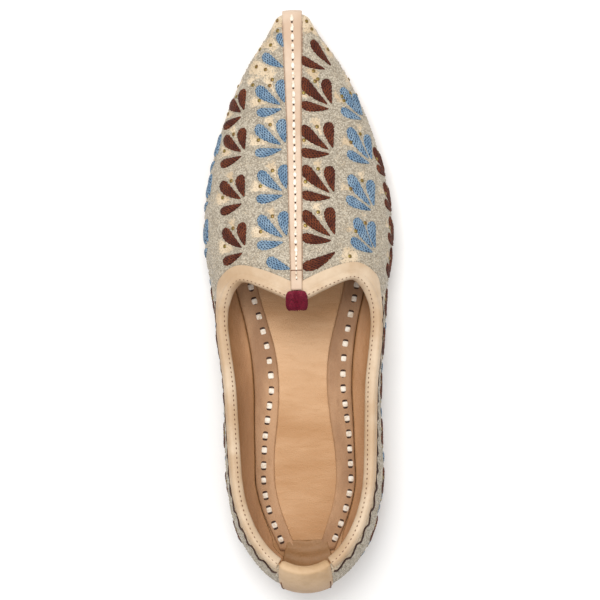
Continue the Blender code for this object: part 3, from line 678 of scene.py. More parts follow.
def pills(name, line, shape, finish_used, sizes=1.0, rings=4, around=5, point=0.0, boxy=1.0):
    """Many copies of a lying capsule with closed ends as one mesh, set by places, directions along and
    directions across, each copy times its own size.

    The capsule is x = -cos(s) * length / 2 with a radius of sin(s)^0.6, drawn in at one end by point.
    Where boxy is under 1 its sines and cosines are raised to it, which squares it off.
    """
    places, ahead, aside = line
    length, width, height = np.array(shape) * MM
    s = np.linspace(0.12, np.pi - 0.12, rings)[:, None]
    a = np.linspace(0, 2 * np.pi, around, endpoint=False)

    def squared(value):
        """The value raised to boxy, its sign kept."""
        return np.sign(value) * np.abs(value) ** boxy

    radius = np.sin(s) ** (0.6 * boxy) * (1 + point * np.cos(s))
    x = -squared(np.cos(s)) * length / 2 + 0 * a
    y = radius * squared(np.cos(a)) * width / 2
    z = radius * squared(np.sin(a)) * height / 2
    one = np.stack([x, y, z], -1).reshape(-1, 3)
    t = one * np.broadcast_to(np.asarray(sizes, float), len(places))[:, None, None]
    axes = np.stack([ahead, aside, np.cross(ahead, aside)], 1)
    number = np.arange(rings * around).reshape(rings, around)
    start = np.arange(len(places))[:, None, None] * len(one)
    sides = ring_quads(number)[:, ::-1] + start
    ends = np.stack([number[0][::-1], number[-1]]) + start
    faces = sides.reshape(-1, 4).tolist() + ends.reshape(-1, around).tolist()
    return add_piece(name, places[:, None] + t @ axes, faces, [finish_used])


def cords(name, paths, radius, twist, finish_used):
    """Round cords with closed ends, carried along paths on the skin, all of one length. The ring at each
    point lies in the plane of the skin's normal and the sideways direction, its radius times
    1 + 0.18 cos(2a + twist), the ripple of its plies."""
    ahead = np.roll(paths, -1, 1) - np.roll(paths, 1, 1)
    ahead[:, 0] = paths[:, 1] - paths[:, 0]
    ahead[:, -1] = paths[:, -1] - paths[:, -2]
    normal = unit(field_slope(paths))
    aside = unit(np.cross(normal, unit(ahead)))
    a = np.linspace(0, 2 * np.pi, 6, endpoint=False)
    ripple = 1 + 0.18 * np.cos(a * 2 + np.arange(paths.shape[1])[:, None] * twist)
    spoke = np.cos(a)[:, None] * aside[:, :, None] + np.sin(a)[:, None] * normal[:, :, None]
    points = paths[:, :, None] + radius * ripple[None, :, :, None] * spoke
    number = np.arange(points.size // 3).reshape(points.shape[:3])
    faces = np.concatenate([ring_quads(one) for one in number]).tolist()
    faces += number[:, 0].tolist() + number[:, -1, ::-1].tolist()
    merge(add_piece(name, points, faces, [finish_used]))


# Making finishes

def add(tree, kind, numbered=None, **named):
    """A shader node with its settings and links: a name with a capital is an input's and any other a
    setting's, and inputs that share a name go by number. An input takes a value or a socket to be linked
    to. Gives the outputs."""
    made = tree.nodes.new("ShaderNode" + kind)
    inputs = dict(numbered or {})
    for name, value in named.items():
        if name[0].isupper():
            inputs[name] = value
        else:
            setattr(made, name, value)
    for name, value in inputs.items():
        if isinstance(value, bpy.types.NodeSocket):
            tree.links.new(value, made.inputs[name])
        else:
            made.inputs[name].default_value = value
    return made.outputs


def finish(name, **sockets):
    """A new material, its node tree and its shader, with uniform values set on the shader's own sockets."""
    made = bpy.data.materials.new(name)
    made.use_nodes = True
    shader = made.node_tree.nodes["Principled BSDF"]
    for key, value in sockets.items():
        shader.inputs[key.replace("_", " ")].default_value = value
    return made, made.node_tree, shader


def turned(tree, value, low, high, a, b, most=1.0):
    """Colour a where the value is low, turned smoothly towards colour b where it is high, by most of the
    way. A colour is a name in COLOURS or a socket."""
    a, b = (linear(colour) if isinstance(colour, str) else colour for colour in (a, b))
    share = add(tree, "MapRange", {0: value, 1: low, 2: high, 4: most}, interpolation_type="SMOOTHSTEP")[0]
    return add(tree, "Mix", {0: share, 6: a, 7: b}, data_type="RGBA")[2]


def lay(tree, shader, tone, height, strength, depth):
    """The tone laid on the shader as its colour, and a relief depth mm deep as its bump."""
    tree.links.new(tone, shader.inputs["Base Color"])
    bump = add(tree, "Bump", Strength=strength, Distance=depth * MM, Height=height)[0]
    tree.links.new(bump, shader.inputs["Normal"])


def leather(name, light, dark, roughness, grain=0.45, crease=6.0, stretch=(1.0, 1.0, 1.0), depth=0.12,
            mottle=0.5, shade=None):
    """Vegetable-tanned hide, sized and rubbed smooth: its colour drifts over the piece where the dye
    took unevenly, with fine darker mottling, and pores and soft wrinkles catch a satin light. Where
    shade is given it names a colour and two heights, and painted shade turns the colour towards it below
    them."""
    made, tree, shader = finish(name, Roughness=roughness, Specular_IOR_Level=0.35, Coat_Weight=0.05,
                                Coat_Roughness=0.45)
    at = add(tree, "TexCoord")["Object"]
    pulled = add(tree, "Mapping", Vector=at, Scale=stretch)[0]
    drift = add(tree, "TexNoise", Vector=pulled, Scale=1 / (28 * MM), Detail=4.0, Roughness=0.6)[0]
    speck = add(tree, "TexNoise", Vector=pulled, Scale=1 / (2.4 * MM), Detail=5.0, Roughness=0.65)[0]
    pores = add(tree, "TexVoronoi", Vector=at, Scale=1 / (grain * MM))[0]
    folds = add(tree, "TexNoise", Vector=pulled, Scale=1 / (crease * MM), Detail=6.0, Roughness=0.62,
                Distortion=0.8)[0]
    tone = turned(tree, drift, 0.35, 0.68, dark, light)
    tone = turned(tree, speck, 0.52, 0.78, tone, dark, mottle)
    # Painted shade: below the lower height the colour is mixed three quarters towards the shade colour,
    # fading out by the upper height
    if shade:
        up = add(tree, "SeparateXYZ", Vector=at)[2]
        shaded_tone = add(tree, "Mix", {0: 0.75, 6: tone, 7: linear(shade[0])}, data_type="RGBA")[2]
        tone = turned(tree, up, shade[1], shade[2], shaded_tone, tone)
    height = add(tree, "Math", {0: folds, 1: 5.0, 2: pores}, operation="MULTIPLY_ADD")[0]
    lay(tree, shader, tone, height, 0.55, depth)
    rubbed = add(tree, "MapRange", {0: speck, 3: roughness - 0.07, 4: roughness + 0.12})[0]
    tree.links.new(rubbed, shader.inputs["Roughness"])
    return made


def thread(name, colour):
    """Mercerised cotton laid in rows of chain stitch: loops lie in rows side by side, dark at the pricks
    between them, uneven as hand work is, and each is lit along its back. The rows follow the petal's UV
    map, which is in metres along it and across it."""
    made, tree, shader = finish(name, Roughness=0.7, Sheen_Weight=0.04, Specular_IOR_Level=0.22)
    at = add(tree, "TexCoord")["Object"]
    uv = add(tree, "UVMap", uv_map="UVMap")[0]
    wander = add(tree, "TexNoise", Vector=at, Scale=1 / (1.6 * MM), Detail=2.0)[1]
    wander = add(tree, "VectorMath", {0: wander, 1: (0.5, 0.5, 0.5)}, operation="SUBTRACT")[0]
    uv = add(tree, "VectorMath", {0: wander, 1: (1.1 * MM,) * 3, 2: uv}, operation="MULTIPLY_ADD")[0]
    down, aside, _ = add(tree, "SeparateXYZ", Vector=uv)
    across = add(tree, "Math", {0: aside, 1: 2 * np.pi / CHAIN_ROW}, operation="MULTIPLY")[0]
    half = add(tree, "Math", {0: across, 1: 0.5}, operation="MULTIPLY")[0]
    along = add(tree, "Math", {0: down, 1: 2 * np.pi / CHAIN_STITCH, 2: half}, operation="MULTIPLY_ADD")[0]
    gap = add(tree, "Math", {0: across}, operation="COSINE")[0]
    prick = add(tree, "Math", {0: along}, operation="COSINE")[0]
    both = add(tree, "Math", {0: gap, 1: prick}, operation="ADD")[0]
    noise = add(tree, "TexNoise", Vector=at, Scale=1 / (0.6 * MM), Detail=3.0)[0]
    both = add(tree, "Math", {0: noise, 1: 2.6, 2: both}, operation="MULTIPLY_ADD")[0]
    soft = add(tree, "TexNoise", Vector=at, Scale=1 / (4 * MM), Detail=2.0)[0]
    tone = turned(tree, soft, 0.35, 0.7, colour, colour + " worn")
    tone = turned(tree, both, 1.1, 2.6, tone, colour + " dark")
    height = add(tree, "Math", {0: noise, 1: both}, operation="SUBTRACT")[0]
    lay(tree, shader, tone, height, 0.6, 0.12)
    return made


def plain(name, light, dark, roughness, grain, depth, **sockets):
    """A matt surface of two close tones broken by its own grain, which is its relief as well."""
    made, tree, shader = finish(name, Roughness=roughness, **sockets)
    at = add(tree, "TexCoord")["Object"]
    noise = add(tree, "TexNoise", Vector=at, Scale=1 / (grain * MM), Detail=4.0, Roughness=0.6)[0]
    lay(tree, shader, turned(tree, noise, 0.35, 0.7, light, dark), noise, 0.5, depth)
    return made


def silk_and_silver(name):
    """Hide covered with cream silk, broken by faint dots, and with fine metal purl wherever the silver
    attribute is high: bright and dark grey specks with shade between them."""
    made, tree, shader = finish(name, Roughness=0.55, Sheen_Weight=0.1, Specular_IOR_Level=0.4)
    at = add(tree, "TexCoord")["Object"]
    silver = add(tree, "Attribute", attribute_name="silver")["Fac"]
    drift = add(tree, "TexNoise", Vector=at, Scale=1 / (9 * MM), Detail=3.0)[0]
    fine = add(tree, "TexNoise", Vector=at, Scale=1 / (0.8 * MM), Detail=3.0, Roughness=0.7)[0]
    away, cell, _ = add(tree, "TexVoronoi", Vector=at, Scale=1 / (0.55 * MM))[:3]
    speck = add(tree, "SeparateColor", Color=cell)[0]
    tone = turned(tree, drift, 0.35, 0.65, "ground light", "ground dark")
    tone = turned(tree, fine, 0.5, 0.64, tone, "ground dot", 0.75)
    bright = turned(tree, speck, 0.3, 0.75, "silver light", "silver dark")
    bright = turned(tree, away, 0.35, 0.6, bright, "silver gap", 0.45)
    worked = add(tree, "Math", {0: fine, 1: silver}, operation="ADD")[0]
    tone = turned(tree, worked, 0.72, 1.08, tone, bright, 0.95)
    height = add(tree, "Math", {0: fine, 1: away}, operation="SUBTRACT")[0]
    lay(tree, shader, tone, height, 0.6, 0.16)
    return made


# Cream silk under silver wire, its specks drawn coarser than the wire: a grey sparkle over warm cream
GROUND = silk_and_silver("embroidered_ground")
# Goat, split thin and drum-dyed: warm brown, with long wrinkles round the wall where it was lasted
LINING = leather("goat_lining", "lining light", "lining dark", 0.48, stretch=(1.0, 0.22, 0.6), crease=6.0,
                 depth=0.2, mottle=0.55)
# Calf, pared and folded: a pale, even satin face with fine pores
TAN = leather("calf_facing", "tan light", "tan dark", 0.5, depth=0.09, mottle=0.4)
# The same calf, darkened from the rim down by painted shade; it wrinkles where it bends
TAB = leather("calf_tab", "tab light", "tab mid", 0.52, crease=3.5, depth=0.14, mottle=0.45,
              shade=("tab dark", 22 * MM, 52 * MM))
# The strip's cut edge, turned under and burnished: a thin line darker than its face
EDGING = plain("rolled_edge", "ridge dark", "edging", 0.6, 0.8, 0.08)
# Calf rubbed smoother still: pinkish, almost without mottling
RIDGE = leather("ridge_leather", "ridge light", "ridge dark", 0.5, depth=0.08, mottle=0.3)
# Footbed hide, glazed and worn by the foot: golden, with wrinkles drawn out across it
FOOTBED = leather("footbed_hide", "footbed light", "footbed dark", 0.5, stretch=(0.3, 1.0, 1.0), crease=5.0,
                  depth=0.2, mottle=0.45)
# Redder hide, skived thin: strongly mottled, its short wrinkles along the foot
MAUVE = leather("strip_hide", "mauve light", "mauve dark", 0.55, crease=2.5, stretch=(1.0, 0.4, 1.0),
                depth=0.18, mottle=0.7)
# Sole leather tanned in bark and rolled hard: coarse pores, stained where the knife cut it
SOLE = leather("bark_tanned_sole", "sole light", "sole dark", 0.6, grain=0.7, crease=2.0, mottle=0.5)
# Cotton in chain stitch, dyed a faded indigo and a dark madder: matt loops with dark pricks
BLUE = thread("blue_chain_stitch", "blue")
BROWN = thread("brown_chain_stitch", "brown")
# Zari, silvered wire wound on a core: a dull gleam on warm grey
SILVER = plain("silver_zari", "silver light", "silver dark", 0.42, 0.9, 0.05, Metallic=0.25)
# Spun cotton cord: matt dark brown, hairy
CORD = plain("brown_cotton_cord", "cord", "brown dark", 0.7, 0.6, 0.08)
# Pressed brass leaf: old gold, tarnished at the edge
GOLD = plain("gilt_sequin", "gold", "seam", 0.35, 0.9, 0.08, Metallic=0.6)
# Rawhide, scraped and dried: dense, nearly white
RAWHIDE = plain("rawhide_lace", "rawhide", "tan light", 0.5, 1.6, 0.1)
# Linen thread drawn through wax: small brown dashes
SEAM = plain("waxed_brown_thread", "seam", "brown", 0.6, 0.6, 0.08)
# Painted shade in a hole pushed open by an awl: dark brown standing in for the shadow inside it
HOLE_SHADE = plain("awl_hole_shade", "hole", "brown dark", 0.9, 1.0, 0.05)
# Combed wool, dyed and clipped: deep burgundy with a soft bloom
WOOL = plain("burgundy_wool", "wool", "wool dark", 0.7, 0.5, 0.12, Sheen_Weight=0.15,
             Sheen_Tint=linear("wool sheen"), Specular_IOR_Level=0.3)


# Camera, light and floor

CAMERA_HEIGHT = 0.900
CAMERA_ACROSS = -0.0320
CAMERA_ALONG = 0.0030
CAMERA_ROLL = np.radians(1.6)
LENS = 117.6


def camera():
    """The photograph's camera: straight above, a little to the shoe's inner side, the toe up."""
    data = bpy.data.cameras.new("camera")
    data.lens = LENS
    data.sensor_width = 36.0
    data.clip_start = 0.01
    made = bpy.data.objects.new("camera", data)
    bpy.context.scene.collection.objects.link(made)
    place = Vector((CAMERA_ACROSS, CAMERA_ALONG, CAMERA_HEIGHT))
    back = (place - Vector((0.0, 0.0, 0.018))).normalized()
    top = Vector((-np.sin(CAMERA_ROLL), -np.cos(CAMERA_ROLL), 0.0))
    right = top.cross(back).normalized()
    turn = Matrix((right, back.cross(right), back)).transposed()
    made.matrix_world = Matrix.Translation(place) @ turn.to_4x4()
    bpy.context.scene.camera = made


def lamp(name, place, size, power, colour=(1.0, 1.0, 1.0)):
    """A square softbox at a place, facing the shoe."""
    data = bpy.data.lights.new(name, "AREA")
    data.size = size
    data.energy = power
    data.color = colour
    made = bpy.data.objects.new(name, data)
    bpy.context.scene.collection.objects.link(made)
    turn = Vector(place).to_track_quat("Z", "Y").to_matrix().to_4x4()
    made.matrix_world = Matrix.Translation(place) @ turn


def studio():
    """A pale floor under even white light, with one large soft key from the toe's outer side."""
    corners = [(6.0 * x, 6.0 * y, 0.0) for x, y in ((-1, -1), (1, -1), (1, 1), (-1, 1))]
    mesh = bpy.data.meshes.new("floor")
    mesh.from_pydata(corners, [], [(0, 1, 2, 3)])
    mesh.materials.append(plain("studio_floor", "floor", "floor", 0.9, 50.0, 0.0))
    floor = bpy.data.objects.new("floor", mesh)
    bpy.context.scene.collection.objects.link(floor)
    world = bpy.data.worlds.new("studio")
    world.use_nodes = True
    shade = world.node_tree.nodes["Background"]
    shade.inputs["Color"].default_value = (1.0, 1.0, 1.0, 1.0)
    shade.inputs["Strength"].default_value = 0.53
    bpy.context.scene.world = world
    lamp("key", (0.17, -0.50, 1.30), 0.7, 11.5, (1.0, 0.99, 0.975))
    lamp("top", (-0.15, 0.0, 1.5), 1.2, 9.5)
    bpy.context.scene.view_settings.view_transform = "Standard"
    bpy.context.scene.view_settings.look = "None"


# The embroidery's chart

def turn_at(x, y):
    """The turn whose place on the skin lies over x at y."""
    share = np.clip(np.abs(x) / side_x(y), 0, 1) ** (section("across", y) / 2)
    return float(np.sign(x) * np.degrees(np.arcsin(share)))


def fan_bases():
    """Travel and turn of every fan's base, with its column's entry in the table."""
    found = []
    for fan in entries(FANS, FAN_COLUMNS):
        for along in fan["rows"]:
            turn = fan["turn"] if fan["across"] is None else turn_at(fan["across"] * MM, along * MM)
            found.append((along * MM, turn, fan))
    return found


def surface_axes(travel, turn):
    """Directions on the skin at a place: round it towards the outside left, and towards the toe."""
    left = unit(on_last(travel, turn + 1.0) - on_last(travel, turn - 1.0))
    toe = on_last(travel - MM, turn) - on_last(travel + MM, turn)
    return left, unit(toe - left * (toe @ left))


def facing_line():
    """Points of both facings' lower edges on the skin, heel to throat, and the same in plan."""
    turn, y, rim_count = stations(6, 40, 70, 40, 4, 3)
    band_x, band_y = rim_point(turn[:rim_count], y[:rim_count], "band")
    plan = np.stack([band_x, band_y], -1)
    plan = np.concatenate([plan, plan[::-1] * (-1, 1)])
    return on_dome(plan[:, 0], plan[:, 1])[0], plan


def clear_of_facing(points, line, plan):
    """How far points lie outside the facings' lower edge: the distance to its nearest point, under 0
    within its plan, where a ray to the left crosses the line an odd number of times."""
    x1, y1 = plan.T
    x2, y2 = np.roll(plan, -1, 0).T
    found = []
    for p in np.array_split(points, len(points) // 4000 + 1):
        away = np.sqrt(np.min(np.sum((p[:, None] - line[None]) ** 2, -1), 1))
        x, y = p[:, :1], p[:, 1:2]
        meets = x1 + (x2 - x1) * (y - y1) / np.where(y2 == y1, 1e-9, y2 - y1)
        crosses = ((y1 > y) != (y2 > y)) & (x < meets)
        found.append(np.where(crosses.sum(1) % 2 == 1, -away, away))
    return np.concatenate(found)


def clear_strip(y):
    """How far the embroidered motifs keep from the facing: past the wavy line on the quarters."""
    return np.interp(y, (-12 * MM, 2 * MM, 60 * MM, 90 * MM), (1.0 * MM, 4.0 * MM, 4.4 * MM, 7.0 * MM))


def chart_petals(edge):
    """Every petal on the skin: its point, its round end, its width, its thread and its fan's number.

    A petal that would run under the facing or over the sole's edge is cut short there, and left out
    where little of it would show.
    """
    found = []
    for number, (travel, turn, fan) in enumerate(fan_bases()):
        base = on_last(travel, turn)
        left, toe = surface_axes(travel, turn)
        for petal in entries(PETALS, PETAL_COLUMNS):
            angle = np.radians(fan[petal["name"]] + rng.uniform(-3, 3))
            way = -np.cos(angle) * left + np.sin(angle) * toe
            reach = fan["reach"] * rng.uniform(0.96, 1.04)
            start = base + way * petal["start"] * reach * MM
            end = base + way * petal["end"] * reach * MM
            found.append((start, end, petal["width"] * (0.5 + 0.5 * reach) * MM, fan["thread"], number))
    for petal in entries(LONE_PETALS, LONE_PETAL_COLUMNS):
        start, end = (on_dome(petal[at + "x"] * MM, petal[at + "y"] * MM)[0] for at in ("from_", "to_"))
        found.append((start, end, petal["width"] * MM, petal["thread"], -1))
    starts, ends, widths, threads, fans = (np.array(part) for part in zip(*found))
    share = np.linspace(0, 1, 21)
    along, _ = to_skin(starts[:, None] + share[None, :, None] * (ends - starts)[:, None])
    room = clear_of_facing(along.reshape(-1, 3), *edge).reshape(along.shape[:2]) - clear_strip(along[..., 1])
    good = (along[..., 2] > seat(along[..., 1]) + 1.6 * MM) & (room > 0)
    first = np.argmax(good, 1)
    last = 20 - np.argmax(good[:, ::-1], 1)
    keep = good.any(1) & (last - first > 8)
    which = np.arange(len(along))
    return tuple(part[keep] for part in (along[which, first], along[which, last], widths, threads, fans))


def petal_half(u):
    """Half a petal's width as a share of it, 0.62 * u^0.7 * sqrt(1 - u^5), where u runs from the point to
    the round end: widest at about three quarters of its length and round beyond it."""
    return 0.62 * u**0.7 * np.sqrt(np.maximum(1 - u**5, 0))


def petal_places(starts, ends, widths, u, v):
    """Points of petals on the skin: u runs from point to round end, and v across from -1 to 1. Each
    petal bows sideways by 0.05 sin(pi u) of its length."""
    along = ends - starts
    aside = unit(np.cross(field_slope((starts + ends) / 2), along))[:, None, None]
    out = (petal_half(u) * v)[None] * widths[:, None, None]
    out = out + 0.05 * np.sin(np.pi * u) * np.linalg.norm(along, axis=-1)[:, None, None]
    return starts[:, None, None] + u[None, ..., None] * along[:, None, None] + out[..., None] * aside


def petals(name, chosen, finish_used):
    """The padded petals of one thread: rows of chain stitch on a soft cushion.

    Height is PETAL_HEIGHT * (1 - |v|^2.6)^0.5 * (1 - (2u - 1)^10)^0.5, plus a ripple of the rows across
    and of the stitches along, half a stitch out of step from row to row.
    """
    starts, ends, widths = chosen[:3]
    u = np.sin(np.linspace(0, np.pi / 2, 32)) ** 1.3
    v = np.sin(np.linspace(-np.pi / 2, np.pi / 2, 17))
    uu, vv = np.meshgrid(0.002 + u * 0.996, v, indexing="ij")
    uneven = 1 + 0.06 * np.sin(uu * 41) + 0.045 * np.sin(uu * 67 + vv)
    flat = petal_places(starts, ends, widths, uu, vv * uneven)
    down = uu * np.linalg.norm(ends - starts, axis=-1)[:, None, None]
    aside = petal_half(uu) * vv * widths[:, None, None]
    row = aside * 2 * np.pi / CHAIN_ROW
    ripple = 0.5 - 0.4 * np.cos(row) + 0.2 * np.cos(down * 2 * np.pi / CHAIN_STITCH + row / 2)
    cushion = np.sqrt(np.maximum(1 - np.abs(vv) ** 2.6, 0)) * np.sqrt(1 - np.abs(2 * uu - 1) ** 10)
    lift = cushion * (PETAL_HEIGHT + 0.3 * MM * (ripple - 0.5)) - 0.12 * MM
    points, _ = to_skin(flat, lift)
    number = np.arange(uu.size).reshape(uu.shape)
    rim = np.concatenate([number[:, 0], number[-1, 1:], number[-2::-1, -1], number[0, -2:0:-1]])
    start = np.arange(len(starts))[:, None] * uu.size
    faces = (quads(number) + start[:, None]).reshape(-1, 4).tolist() + (rim + start).tolist()
    uv = np.stack([down, aside], -1)
    merge(add_piece(name, points, faces, [finish_used], uv))


def outline_stitches(chart, offset, pitch):
    """Places at equal steps round every petal, offset outside its edge, with the directions along the
    outline and across it."""
    starts, ends, widths = chart[:3]
    steps = np.linspace(0.0, 1.0, 25)
    u = np.concatenate([steps[:-1], steps[::-1]])
    v = np.concatenate([np.ones(24), -np.ones(25)])
    u = 0.01 + 0.98 * np.sin(u * np.pi / 2) ** 1.2
    way = unit(ends - starts) * offset
    grown = petal_places(starts - way, ends + way, widths + 2 * offset, u[:, None], v[:, None])
    found = []
    for loop, normal in zip(*to_skin(grown[:, :, 0])):
        found.append(along_line(loop, normal, pitch, rng.uniform(0.2, 0.8)))
    return tuple(np.concatenate(part) for part in zip(*found))


def distance_to_petals(points, chart):
    """How far each point lies outside the nearest petal, seen as a cone with a round end, how far from
    the nearest petal's point, and which petal is nearest."""
    near = np.full(len(points), 1.0)
    base = np.full(len(points), 1.0)
    which = np.zeros(len(points), int)
    for i, (start, end, width) in enumerate(zip(*chart[:3])):
        along = end - start
        t = np.clip((points - start) @ along / (along @ along), 0, 1)
        away = np.linalg.norm(points - (start + t[:, None] * along), axis=-1)
        away = away - width * 0.5 * np.clip(t * 1.3, 0.1, 1)
        which = np.where(away < near, i, which)
        near = np.minimum(near, away)
        base = np.minimum(base, np.linalg.norm(points - start, axis=-1))
    return near, base, which


def silver_share(points, chart, sequin, edge):
    """How much of the ground is worked in silver: all of it round the petals and at their points, little
    near the facing on the quarters, and none in the cells round the sequins."""
    near, base, _ = distance_to_petals(points, chart)
    cell = np.full(len(points), 1.0)
    for place in sequin:
        cell = np.minimum(cell, np.linalg.norm(points - place, axis=-1))
    open_cell = np.exp(-((cell / (4.0 * MM)) ** 4))
    rim = np.exp(-((np.maximum(near - 0.3 * MM, 0) / (0.7 * MM)) ** 2))
    share = np.maximum(0.56 - 0.50 * open_cell, 0.8 * rim)
    share = np.maximum(share, np.exp(-((base / (3.6 * MM)) ** 2)))
    border = clear_of_facing(points, *edge)
    quarter = ease(points[:, 1] / (9 * MM)) * (1 - ease((border - 3.5 * MM) / (3 * MM)))
    return share + (0.14 - share) * quarter


def scattered_stitches(chart, sequin, edge):
    """Short silver stitches strewn over the worked ground at about a millimetre, each along its nearest
    petal's axis: a jittered grid of travel and of arc length round the section, thinned by the share."""
    turn = np.linspace(-176, 176, 260)
    found = []
    for travel in np.arange(-122 * MM, 142 * MM, PURL_GRID):
        run = run_along(on_last(travel, turn))
        at = np.arange(PURL_GRID / 2, run[-1], PURL_GRID)
        at = at + rng.uniform(-0.4, 0.4, len(at)) * PURL_GRID
        along = travel + rng.uniform(-0.4, 0.4, len(at)) * PURL_GRID
        found.append(on_last(along, np.interp(at, run, turn)))
    points, normal = to_skin(np.concatenate(found), 0.08 * MM)
    near, _, which = distance_to_petals(points, chart)
    share = silver_share(points, chart, sequin, edge)
    x, y, z = points.T
    on_strip = (np.abs(x) < ridge_half(y) + 0.5 * MM) & (z > full_height(y))
    good = (near > 0.8 * MM) & (rng.uniform(0, 1, len(points)) < share)
    good &= (clear_of_facing(points, *edge) > 0.6 * MM) & ~on_strip & (z > seat(y) + 0.8 * MM)
    normal = normal[good]
    ahead = (chart[1] - chart[0])[which[good]] + rng.normal(0, 3.0 * MM, normal.shape)
    ahead = unit(ahead - normal * np.sum(ahead * normal, -1, keepdims=True))
    return points[good], ahead, np.cross(normal, ahead)


def sequin_places(chart):
    """Between the round ends of neighbouring petals of a fan, drawn an eighth towards its base, and
    where one stands alone."""
    starts, ends, _, _, fans = chart
    found = []
    for i in range(len(ends) - 1):
        if fans[i] == fans[i + 1] and fans[i] >= 0:
            found.append((ends[i] + ends[i + 1]) * 0.4375 + (starts[i] + starts[i + 1]) * 0.0625)
    for x, y in LONE_SEQUINS:
        found.append(on_dome(x * MM, y * MM)[0])
    return to_skin(np.array(found))


# The upper

def upper(chart, sequin, edge):
    """The hollow shell: embroidered cover outside, goat lining inside, joined at the rim and the foot."""
    spread = stations(6, 34, 60, 44, 150, 10)
    outer = skin(spread, 12, 46, 0.0, 0.0)
    inner = skin(spread, 12, 46, WALL, TOE_FILL)
    normal = unit(field_slope(outer))
    size = outer.size // 3
    number = np.arange(size).reshape(outer.shape[:2])
    cover = quads(number)
    joined = [quads(np.stack([line, line + size], 1)) for line in (number[:, 0], number[: spread[2], -1])]
    half = np.concatenate([cover, quads(number + size), *joined])
    which = np.ones(len(half), int)
    which[: len(cover)] = 0
    every = []
    silver = []
    for side in (1, -1):
        mirror = np.array((side, 1, 1))
        creased = outer * mirror + normal * mirror * crease(outer * mirror)[..., None]
        every += [creased.reshape(-1, 3), inner.reshape(-1, 3) * mirror]
        silver += [silver_share(every[-2], chart, sequin, edge), np.zeros(size)]
    faces = np.concatenate([half, half[:, ::-1] + 2 * size]).tolist()
    made = add_piece("upper_shell", np.concatenate(every), faces, [GROUND, LINING],
                     which=np.tile(which, 2), values={"silver": np.concatenate(silver)})
    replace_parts(merge(made), "upper")


def silver_work(chart, sequin, edge):
    """Silver purl round the petals in one couched row, and strewn over the ground, a piece for each side."""
    row = outline_stitches(chart, PURL_ROW_OUT, PURL_ROW_PITCH)
    strewn = scattered_stitches(chart, sequin, edge)
    line = [np.concatenate(pair) for pair in zip(row, strewn)]
    for word, side in SIDES:
        good = line[0][:, 0] * side > 0
        size = rng.uniform(0.75, 1.1, good.sum())
        half = [part[good] for part in line]
        pills("silver_purl_" + word, half, PURL, SILVER, size, 3)


def binding(name, side):
    """The folded facing on one side: a closed profile carried along the collar, with a raised lip at
    the rim, a shallow groove for the seam and a thin lower edge. Gives the line of its stitches, which
    runs round the fold's face on the vamp and along its top on the quarters, and that line's normals."""
    turn, y, rim_count = stations(1, 30, 46, 44, 4, 3)
    turn = turn[1:rim_count].copy()
    y = y[1:rim_count].copy()
    turn[0] += GAP * 2 / half_width(HEEL_Y)
    y[0] = HEEL_Y + HEEL_REACH * np.cos(turn[0])
    rim_x, rim_y = rim_point(turn, y, "rim")
    band_x, band_y = rim_point(turn, y, "band")
    rim, normal = on_dome(rim_x, rim_y)
    upward = np.cross(np.gradient(rim, axis=0), normal)
    upward[-1] = np.cross((-1.0, 0.0, 0.0), normal[-1])
    upward = unit(upward)
    over = GAP + BINDING_THICK
    corner = over * 0.8
    lower, _ = on_dome(band_x, band_y)
    wide = np.linalg.norm(lower - rim, axis=-1)

    def at_rim(out, up):
        """The rim moved out square to the skin and up in it."""
        return rim + normal * out + upward * up

    def down(away, out):
        """A line on the skin that far down from the rim, or at the lower edge, moved out."""
        share = np.minimum(away / wide, 1.0)
        return on_dome(rim_x + (band_x - rim_x) * share, rim_y + (band_y - rim_y) * share, out)[0]

    def lining(out):
        """The facing's inner edge, moved out."""
        below = rim - upward * BINDING_INSIDE
        return on_dome(below[:, 0], below[:, 1], out)[0]

    ring = [down(wide, over * 0.45), down(wide, over * 0.95)]
    steps = ((9.0, 1.0), (5.5, 1.02), (3.6, 1.02), (2.7, 1.0), (2.1, 0.80), (1.6, 0.98), (0.8, 1.16))
    for away, out in steps:
        ring.append(down(away * MM, over * out))
    ring += [at_rim(over * 1.1, 0.0), at_rim(corner, corner), at_rim(-WALL / 2, over)]
    ring += [at_rim(-WALL - corner, corner), at_rim(-WALL - over, 0.0)]
    ring += [lining(-WALL - over), lining(-WALL - over * 0.4)]
    ring += [at_rim(-WALL - GAP * 0.4, GAP * 0.5), at_rim(GAP * 0.4, GAP * 0.5), down(wide, GAP * 0.3)]
    sections = np.stack(ring, 1)
    sections[..., 0] = np.maximum(sections[..., 0], GAP / 2)
    sections[-1, :, 0] = GAP / 2
    made = loft(name, sections * (side, 1, 1), TAN, 1)
    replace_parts(made, name.replace("facing", "collar_binding"))
    bend = np.radians(12 + 98 * ease((0.95 - normal[:, 2:]) / 0.7))
    seam = rim + normal * (np.cos(bend) * (WALL / 2 + over) - WALL / 2) + upward * np.sin(bend) * over * 0.97
    outward = normal * np.cos(bend) + upward * np.sin(bend)
    return seam * (side, 1, 1), outward * (side, 1, 1)


def along_line(points, normals, pitch, phase=0.5):
    """Places at equal steps along a line of points, with the directions along it and across it."""
    run = run_along(points)
    at = np.arange(pitch * phase, run[-1], pitch)

    def read(values, at):
        """The values along the line, read at other places."""
        return np.stack([np.interp(at, run, values[:, i]) for i in range(3)], -1)

    place = read(points, at)
    ahead = read(points, at + pitch * 0.1) - place
    ahead[-1] = ahead[-2]
    ahead = unit(ahead)
    normal = read(normals, at)
    normal = unit(normal - ahead * np.sum(normal * ahead, -1, keepdims=True))
    return place, ahead, np.cross(normal, ahead)


# The ridge strip

def ridge_half(y):
    """Half width of the ridge strip: widest at the tip, narrow at the throat."""
    ball = LENGTH * (0.5 - 0.75)
    toe_part = ease((ball - y) / (ball - TIP_Y))
    throat_part = ease((y - ball) / (THROAT_Y - ball))
    wider = (RIDGE_STRIP_TIP - RIDGE_STRIP_BALL) * toe_part
    return (RIDGE_STRIP_BALL + wider + (RIDGE_STRIP_THROAT - RIDGE_STRIP_BALL) * throat_part) / 2


